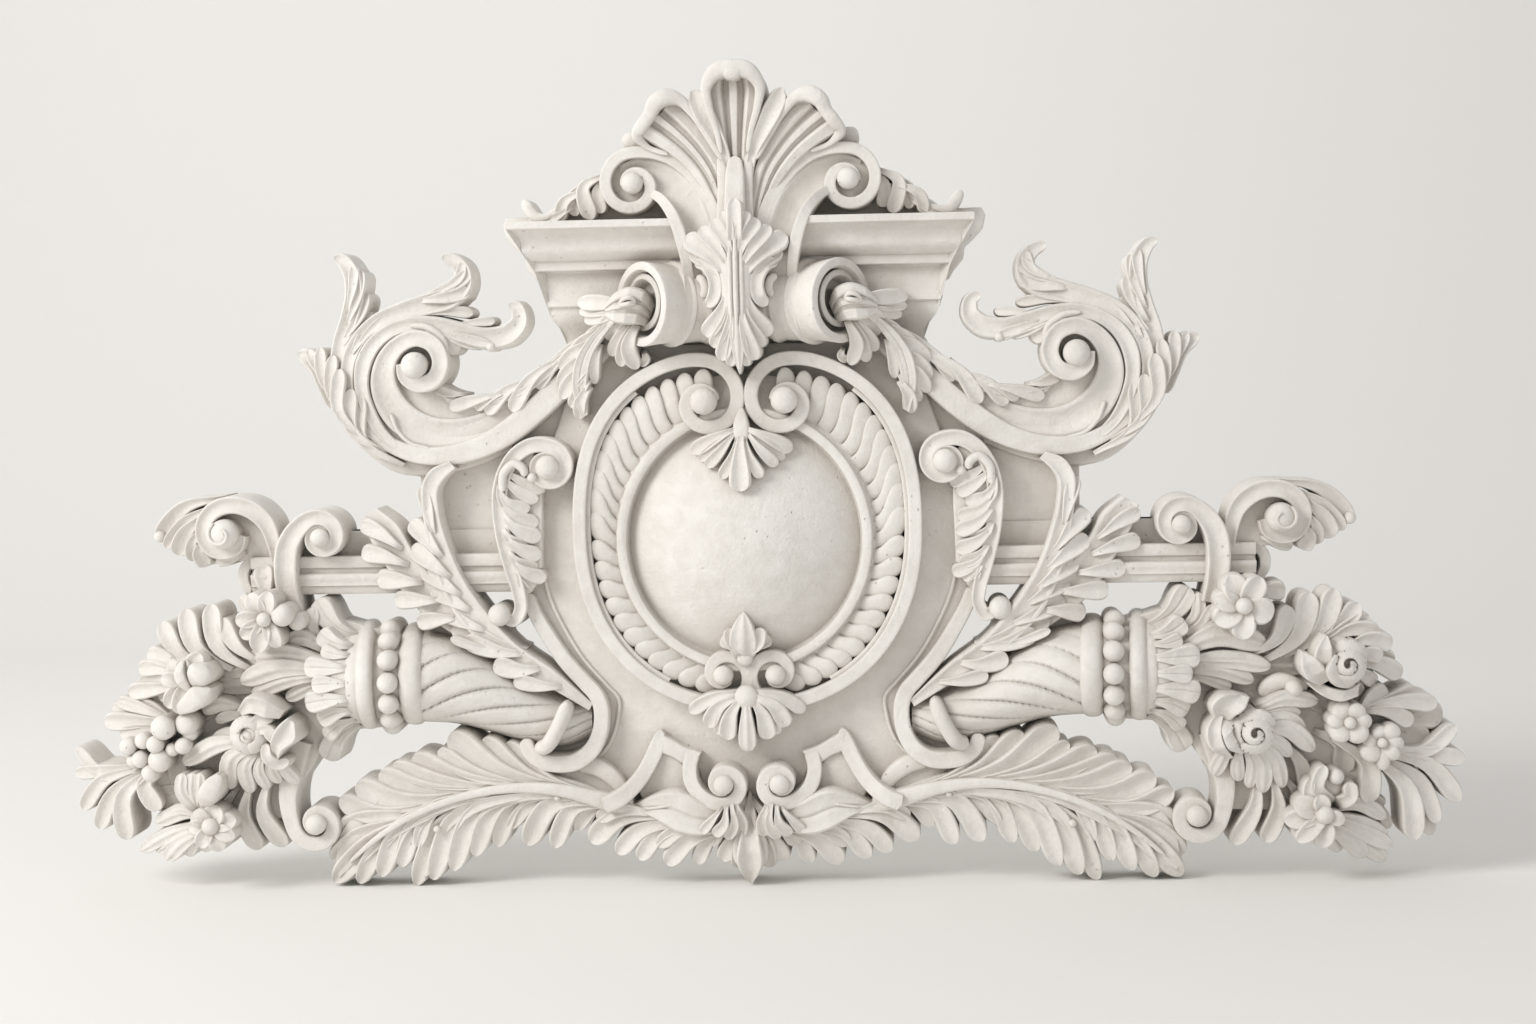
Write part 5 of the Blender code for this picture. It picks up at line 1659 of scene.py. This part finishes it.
    def left_heap(self, carve: Carver) -> None:
        """Carves the heap at the left, given as if on the right, and mirrored by the carver.

        Args:
            carve: the carver.
        """
        carve.fingers((
            (486, -50, 490, -30, 493, -11, 11, 54, 48), (498, -72, 506, -56, 517, -42, 7.5, 54, 48),
            (494, -108, 518, -92, 535, -64, 9, 64, 58), (506, -116, 538, -92, 545, -49, 11, 62, 56),
            (526, -116, 562, -92, 572, -54, 11, 60, 54), (548, -114, 580, -98, 598, -67, 10, 58, 52),
            (570, -124, 590, -106, 613, -98, 10, 62, 54), (574, -124, 596, -114, 623, -114, 9, 62, 54),
            (574, -126, 598, -124, 622, -127, 8, 60, 52), (572, -130, 602, -134, 635, -139, 9, 60, 52),
            (570, -134, 590, -138, 604, -144, 8, 60, 52), (584, -168, 612, -154, 628, -150, 8, 56, 50),
            (588, -166, 622, -154, 647, -147, 8, 58, 50), (588, -166, 628, -160, 653, -153, 7, 56, 48),
            (588, -168, 630, -168, 661, -168, 10, 60, 52), (590, -172, 620, -176, 644, -181, 8.5, 62, 54),
            (612, -208, 658, -224, 691, -194, 6.5, 60, 52), (622, -212, 664, -218, 693, -221, 7.5, 60, 52),
            (618, -214, 662, -228, 686, -258, 9, 60, 52), (614, -214, 652, -242, 670, -279, 10, 60, 52),
            (606, -214, 640, -244, 641, -290, 12, 62, 54), (590, -208, 618, -232, 605, -259, 11, 60, 58),
        ), shape=Shape.CLUB)
        carve.fingers((
            (420, -110, 470, -100, 508, -104, 11, 72, 62), (430, -116, 474, -114, 516, -128, 11, 74, 64),
            (430, -122, 466, -126, 505, -141, 9, 72, 62), (430, -126, 450, -136, 470, -146, 8, 68, 62),
            (424, -94, 444, -76, 440, -54, 9, 62, 54), (424, -98, 456, -84, 470, -92, 9, 66, 60),
            (430, -120, 480, -110, 540, -120, 12, 50, 50), (440, -128, 490, -130, 548, -134, 12, 46, 50),
            (510, -156, 536, -150, 556, -158, 8, 70, 62), (508, -160, 530, -162, 542, -168, 6, 72, 62),
        ), Section.RIDGED)
        carve.fingers((
            (490, -226, 498, -262, 478, -299, 10, 66, 50), (508, -230, 518, -268, 505, -302, 10, 66, 50),
            (524, -236, 540, -262, 532, -286, 9, 52, 44), (556, -196, 584, -206, 586, -236, 12, 50, 46),
            (516, -150, 560, -160, 600, -176, 14, 46, 44), (578, -236, 606, -244, 612, -262, 9, 46, 42),
            (550, -200, 580, -214, 590, -250, 10, 46, 44),
        ), shape=Shape.CLUB)
        carve.fingers((
            (500, -184, 540, -190, 577, -210, 10, 82, 66), (498, -182, 526, -180, 546, -188, 8, 80, 68),
            (498, -190, 524, -204, 530, -237, 10, 84, 66), (494, -194, 510, -212, 508, -241, 8, 84, 66),
            (490, -198, 496, -216, 490, -237, 7, 84, 66), (484, -200, 484, -216, 478, -231, 7, 82, 66),
            (478, -200, 470, -216, 459, -232, 7, 80, 64),
        ), Section.RIDGED)
        self.petals(carve, (482, -62, 7.5, 98), (
            (497, -36, 11), (511, -62, 10), (506, -80, 9), (489, -95, 11), (468, -90, 9), (476, -34, 11),
        ))
        carve.ball(464, -58, 11.5, 98, 0.9)
        carve.ball(452, -66, 9, 84, 0.9)
        self.petals(carve, (565, -124, 8, 92), (
            (550, -96, 12), (568, -100, 9), (582, -104, 9), (590, -120, 9), (586, -150, 10), (574, -156, 9),
        ))
        carve.blade([(556, -128), (540, -126), (534, -114), (540, -106)],
                    [(560, -122), (560, -112), (556, -105), (546, -104)], (92, 102, 104, 98), Section.PAD,
                    depth=1.6)
        carve.blade([(572, -158), (552, -152), (538, -142), (536, -130)],
                    [(578, -150), (566, -138), (556, -128), (542, -127)], (84, 98, 102, 96), Section.PAD,
                    depth=1.4)
        carve.blade([(562, -134), (572, -124), (574, -112), (568, -102)],
                    [(558, -128), (562, -118), (564, -108), (564, -102)], (92, 96, 96, 90), Section.PAD,
                    depth=1.4)
        for x, z, radius, height in (
            (591, -171, 12.5, 90), (568, -168, 12, 84), (572, -190, 8.5, 84), (600, -188, 9, 86),
            (614, -185, 8.5, 80), (597, -205, 12, 84), (630, -191, 9, 78), (608, -218, 9.5, 78),
            (584, -194, 7, 80), (618, -204, 9, 78), (566, -178, 8, 78), (626, -206, 7, 74),
        ):
            carve.ball(x, z, radius, height, 0.85)
        self.shells(carve, (502, -178), (
            (0, 170, 14, 6, 96), (120, 170, 14, 6, 95), (240, 160, 13.5, 6, 94), (60, 170, 8, 3.5, 94),
            (220, 170, 7.5, 3.5, 94),
        ))
        carve.ball(502, -178, 7.5, 93, 0.8)
        carve.blade([(474, -206), (466, -194), (450, -182), (452, -166)],
                    [(478, -198), (478, -184), (470, -168), (460, -160)], (90, 100, 103, 98), depth=1.3)
        carve.blade([(514, -154), (500, -138), (482, -140), (464, -154)],
                    [(508, -160), (496, -156), (484, -160), (470, -162)], (84, 98, 100, 92), depth=1.3)
        carve.band([
            (484, -186, 5, 92), (482, -200, 6, 96), (472, -208, 6, 92), (462, -204, 5, 88),
        ], Section.SPOON, 26, ends=(6, 6))
        carve.fingers((
            (500, -176, 492, -164, 476, -160, 7, 92, 94), (496, -176, 484, -172, 470, -186, 7, 92, 96),
        ), Section.SPOON)
        for x, wide in ((574, 7), (564, 8), (556, 6)):
            carve.lobe(((560, -256), (x, -236), (x - 2, -217)), wide, (76, 84), Section.RIDGED, Shape.TONGUE)
        carve.blade([(556, -252), (556, -236), (546, -222), (536, -217)],
                    [(548, -254), (536, -244), (530, -232), (530, -220)], (82, 92, 94, 88), Section.PAD,
                    depth=1.4)
        self.petals(carve, (545, -271, 9, 92), (
            (538, -250, 12), (562, -256, 11), (568, -272, 9), (556, -292, 10), (534, -296, 10),
            (520, -282, 9), (519, -264, 10),
        ))
        carve.fingers((
            (556, -262, 584, -262, 612, -274, 9, 60, 50), (560, -266, 580, -258, 596, -262, 7, 60, 54),
            (560, -272, 596, -284, 629, -303, 8, 60, 48), (560, -276, 592, -290, 612, -304, 8, 62, 50),
            (558, -280, 584, -294, 602, -312, 9, 64, 50), (556, -284, 572, -294, 580, -308, 8, 62, 50),
            (552, -286, 560, -296, 562, -304, 7, 58, 50),
        ), Section.RIDGED)

    def middle(self, carve: Carver) -> None:
        """Carves both heaps, and under each the strap that ends in a volute.

        Args:
            carve: the carver.
        """
        self.right_heap(carve)
        carve.side = -1.0
        self.left_heap(carve)
        for carve.side in (1.0, -1.0):
            carve.band([
                (458, -190, 12, 56), (466, -216, 11.5, 58), (472, -244, 10, 58), (470, -268, 8.5, 58),
            ] + volute((443, -275), -8, -440, (24, 5), (8, 6.5), (58, 56), 1.1)[1:], Section.STRAP, 150)
            carve.eye(443, -274, 10.5, 70)


@dataclass
class Acanthus(Assembly):
    """The long acanthus leaf along the foot."""

    name: str = "foot_acanthus"
    seed: int = 13

    def half(self, carve: Carver) -> None:
        """Carves the broad upper side, the long fingers that sweep off it and those below, and the rib.

        Args:
            carve: the carver.
        """
        carve.blade([
            (142, -250), (168, -238), (200, -228), (240, -220), (280, -217), (312, -224), (344, -234),
            (376, -250), (404, -264), (422, -286), (428, -320),
        ], [
            (142, -262), (172, -250), (204, -245), (246, -244), (290, -250), (326, -264), (352, -278),
            (376, -292), (398, -308), (412, -322), (424, -332),
        ], (50, 52, 53, 53, 53, 52, 50, 46), Section.SLOPE, count=60)
        carve.fingers((
            (160, -247, 214, -230, 249, -195, 12, 58, 52), (178, -243, 236, -224, 272, -190, 13, 58, 53),
            (196, -240, 262, -222, 306, -185, 16.5, 59, 53), (222, -238, 288, -222, 318, -201, 10, 60, 53),
            (232, -238, 306, -228, 345, -208, 14.5, 60, 53), (256, -240, 328, -230, 365, -216, 11, 60, 53),
            (268, -242, 344, -240, 380, -225, 14.5, 60, 53), (294, -247, 368, -252, 404, -236, 14.5, 60, 51),
            (318, -255, 388, -266, 422, -251, 12.5, 59, 50), (338, -264, 404, -276, 434, -298, 14, 58, 46),
            (350, -270, 404, -290, 432, -316, 12, 57, 45),
        ), Section.SPOON, Shape.CLUB, 0.12)
        carve.fingers((
            (122, -262, 160, -262, 181, -285, 7.5, 50, 46), (126, -260, 182, -262, 203, -303, 10.5, 55, 49),
            (134, -257, 204, -258, 231, -300, 12.5, 57, 50), (150, -254, 222, -254, 249, -283, 8.5, 56, 49),
            (166, -250, 240, -255, 262, -302, 10.5, 58, 48), (182, -246, 258, -257, 285, -311, 11.5, 59, 49),
            (198, -244, 280, -263, 307, -326, 11.5, 60, 50), (214, -243, 300, -269, 328, -335, 12, 61, 50),
            (226, -243, 318, -280, 346, -341, 11.5, 60, 47), (258, -244, 326, -262, 342, -300, 8, 62, 54),
            (266, -245, 340, -272, 360, -321, 10.5, 62, 51), (278, -248, 356, -278, 381, -331, 11, 62, 51),
            (292, -252, 374, -290, 404, -338, 11, 61, 49), (308, -258, 392, -298, 430, -337, 12.5, 61, 47),
        ), Section.SPOON, Shape.CLUB, 0.15)
        carve.ball(197, -250, 3.4, 60)
        carve.ball(320, -281, 4, 60)
        rib = [
            (120, -262, 9, 56), (150, -254, 9, 60), (184, -244, 7, 62), (220, -239, 5.5, 63.5),
            (262, -241, 4.5, 64), (306, -251, 3.8, 64), (346, -267, 3.4, 63), (384, -291, 2.8, 59),
            (412, -315, 2, 53),
        ]
        carve.band(rib, Section.CROWNED, 90, ends=(4, 12), depth=0.8)


@dataclass
class Foot(Assembly):
    """The strapwork, husks and fan at the foot of the shield."""

    name: str = "foot_fan"
    seed: int = 14
    eye: Place = (28, -237)

    def half(self, carve: Carver) -> None:
        """Carves the notched strap, its volute, the husk and half of the fan.

        Args:
            carve: the carver.
        """
        carve.blade([(94, -186), (80, -194), (66, -202), (51, -207)],
                    [(90, -208), (80, -212), (72, -217), (64, -222)], (48, 48, 48, 48), Section.STRAP,
                    depth=0.5)
        carve.band([(60, -208, 7.5, 48), (63, -222, 7.5, 53), (60, -238, 7.5, 60), (51, -249, 7.5, 64)]
                   + volute(self.eye, -42, -420, (22, 6), (7.5, 5.5), (66, 66), 1.05)[1:], Section.STRAP, 130)
        carve.eye(*self.eye, 10, 76)
        carve.band([
            (91, -184, 4, 48), (95, -198, 7.5, 48), (104, -218, 8, 52), (118, -238, 8, 60),
            (134, -251, 8.5, 66), (150, -258, 8.5, 66),
        ], Section.STRAP, 60, ends=(6, 2))
        carve.band([
            (130, -247, 6, 48), (140, -234, 8, 49), (156, -222, 9, 50), (176, -216, 9, 50),
        ], Section.CROWNED, 40, ends=(6, 6), depth=0.6)
        carve.slab(((92, -192), (122, -236), (112, -256), (60, -256), (66, -224)), 43.0, 3.0)
        carve.fingers((
            (4, -272, 14, -300, 16, -325, 8.5, 60, 50), (8, -276, 24, -300, 32, -318, 9, 60, 50),
            (10, -276, 34, -284, 46, -300, 10, 62, 54), (16, -280, 46, -296, 58, -321, 9, 56, 48),
            (26, -282, 66, -296, 89, -321, 11, 60, 50), (34, -282, 74, -284, 97, -301, 9, 62, 54),
            (50, -280, 96, -290, 117, -316, 10, 58, 48), (66, -276, 116, -286, 139, -310, 10, 58, 48),
            (84, -270, 136, -272, 166, -298, 12.5, 58, 48), (96, -268, 140, -264, 158, -274, 9, 58, 52),
        ), shape=Shape.CLUB)
        carve.band([
            (14, -268, 7, 58), (34, -273, 13, 63), (56, -271, 19, 67), (80, -262, 20, 66),
            (102, -260, 11, 60), (121, -262, 2.5, 52),
        ], Section.VEINED, 60, ends=(6, 3))
        for x0, z0, x1, z1, x2, z2 in ((42, -270, 62, -284, 84, -278), (64, -252, 84, -258, 108, -262)):
            carve.band([(x0, z0, 1.2, 62), (x1, z1, 1.6, 64), (x2, z2, 1.0, 60)], Section.CABLE, 24,
                       ends=(6, 6))
        carve.fingers((
            (16, -256, 10, -276, 14, -290, 7, 70, 64), (20, -256, 18, -278, 27, -292, 6.5, 76, 66),
            (25, -258, 28, -276, 39, -288, 6.5, 78, 68), (30, -260, 40, -272, 52, -286, 5.5, 76, 66),
        ), shape=Shape.CLUB)

    def middle(self, carve: Carver) -> None:
        """Carves the fan's middle lobe.

        Args:
            carve: the carver.
        """
        for side in (1, -1):
            carve.lobe(((-3 + side * 2, -268), (-3 + side * 12, -296), (-3 + side * 10, -322)), 6.5, (64, 56),
                       Section.CROWNED, Shape.CLUB)
        carve.blade([(-2, -248), (4, -270), (8, -294), (11, -316), (4, -332), (-3, -340)],
                    [(-4, -248), (-10, -270), (-14, -294), (-17, -316), (-10, -332), (-3, -340)],
                    (40, 58, 66, 70, 64, 54), Section.HOLLOW, count=40, depth=1.1)
        for side in (1, -1):
            carve.lobe(((-3 + side * 2, -254), (-3 + side * 14, -270), (-3 + side * 22, -294)), 8, (50, 58),
                       Section.SPOON, Shape.CLUB)


@dataclass
class Studio:
    """The plain pale floor, the soft light and the camera."""

    aim: tuple[float, float, float] = (0.021, -0.05, 0.035)
    yaw: float = 3.0
    elevation: float = 3.5
    roll: float = 1.1
    distance: float = 2.5
    frame_width: float = 1.536
    sensor: float = 36.0
    floor: float = -0.3415
    floor_tone: tuple[float, float, float] = (0.885, 0.875, 0.86)
    floor_size: Place = (7.0, 3.5)
    floor_shift: float = -1.5
    sweep_steps: int = 12
    sweep_step: float = 0.2
    wall: float = 4.0
    key_size: float = 2.0
    key_power: float = 132.0
    wash_power: float = 6.5
    fill_power: float = 3.036
    sky: float = 0.56

    def backdrop(self) -> None:
        """Makes the floor, which sweeps up into the wall behind."""
        bm = bmesh.new()
        bmesh.ops.create_grid(bm, x_segments=1, y_segments=1, size=1.0)
        bmesh.ops.scale(bm, vec=(*self.floor_size, 1.0), verts=bm.verts)
        bmesh.ops.translate(bm, vec=(0.0, self.floor_shift, self.floor), verts=bm.verts)
        edge = [item for item in bm.edges if all(vert.co.y > 1.0 for vert in item.verts)]
        turns = [math.radians(90.0 * (k + 1) / self.sweep_steps) for k in range(self.sweep_steps)]
        steps = [Vector((0.0, math.cos(turn), math.sin(turn))) * self.sweep_step for turn in turns]
        for step in steps + [Vector((0.0, 0.0, self.wall))]:
            made = bmesh.ops.extrude_edge_only(bm, edges=edge)["geom"]
            edge = [item for item in made if isinstance(item, bmesh.types.BMEdge)]
            top = [item for item in made if isinstance(item, bmesh.types.BMVert)]
            bmesh.ops.translate(bm, verts=top, vec=step)
        bmesh.ops.recalc_face_normals(bm, faces=bm.faces)
        mesh = bpy.data.meshes.new("floor")
        bm.to_mesh(mesh)
        bm.free()
        mesh.shade_smooth()
        paint = bpy.data.materials.new("studio_floor")
        nodes = Nodes(paint)
        nodes.shader.inputs["Base Color"].default_value = (*self.floor_tone, 1.0)
        nodes.shader.inputs["Roughness"].default_value = 0.9
        mesh.materials.append(paint)
        floor = bpy.data.objects.new("studio_floor", mesh)
        bpy.context.scene.collection.objects.link(floor)

    def light(
        self,
        name: str,
        place: Sequence[float],
        size: float,
        power: float,
        tone: Sequence[float],
        aim: Sequence[float] | None = None,
    ) -> None:
        """Adds a soft square light.

        Args:
            name: the light's name.
            place: where it stands.
            size: length of its side.
            power: watts.
            tone: its colour.
            aim: where it points, or None for the work.
        """
        data = bpy.data.lights.new(name, "AREA")
        data.size = size
        data.energy = power
        data.color = tone
        lamp = bpy.data.objects.new(name, data)
        lamp.location = place
        lamp.rotation_euler = (Vector(aim or self.aim) - Vector(place)).to_track_quat("-Z", "Y").to_euler()
        bpy.context.scene.collection.objects.link(lamp)

    def camera(self) -> None:
        """Sets the camera at the photograph's angle, a little to the right and above, and rolled."""
        data = bpy.data.cameras.new("camera")
        data.sensor_width = self.sensor
        data.lens = self.sensor * self.distance / self.frame_width
        made = bpy.data.objects.new("camera", data)
        yaw, lift = math.radians(self.yaw), math.radians(self.elevation)
        back = Vector((math.sin(yaw) * math.cos(lift), -math.cos(yaw) * math.cos(lift), math.sin(lift)))
        made.location = Vector(self.aim) + back * self.distance
        turn = (-back).to_track_quat("-Z", "Y")
        made.rotation_mode = "QUATERNION"
        made.rotation_quaternion = turn @ Quaternion((0.0, 0.0, 1.0), math.radians(-self.roll))
        bpy.context.scene.collection.objects.link(made)
        bpy.context.scene.camera = made

    def build(self) -> None:
        """Sets up the whole studio."""
        self.backdrop()
        self.light("key", (-3.1, -2.55, 2.3), self.key_size, self.key_power, (1.0, 0.985, 0.96))
        self.light("wash", (-0.5, 1.3, 2.1), 2.2, self.wash_power, (1.0, 0.99, 0.975), (0.0, 3.3, 0.35))
        self.light("fill", (2.2, -2.4, 0.9), 2.4, self.fill_power, (1.0, 0.99, 0.98))
        world = bpy.data.worlds.new("studio")
        bpy.context.scene.world = world
        world.use_nodes = True
        sky = world.node_tree.nodes["Background"]
        sky.inputs["Color"].default_value = (1.0, 0.985, 0.965, 1.0)
        sky.inputs["Strength"].default_value = self.sky
        bpy.context.scene.view_settings.view_transform = "Standard"
        self.camera()


@dataclass
class Applique:
    """The whole casting."""

    finish: Plaster = field(default_factory=Plaster)
    parts: tuple[type[Assembly], ...] = (Ground, Cornice, Crest, Keystone, Cartouche, Scroll, Bracket,
                                         Branches, Rail, Wing, Cornucopia, Flowers, Acanthus, Foot)

    def build(self) -> list[bpy.types.Object]:
        """Builds every sub-assembly in one finish."""
        plaster = self.finish.material()
        return [part().build(plaster) for part in self.parts]


def main() -> None:
    """Builds the applique and its studio."""
    pieces = Applique().build()
    LOG.info("%d pieces", len(pieces))
    Studio().build()


if __name__ == "__main__":
    main()
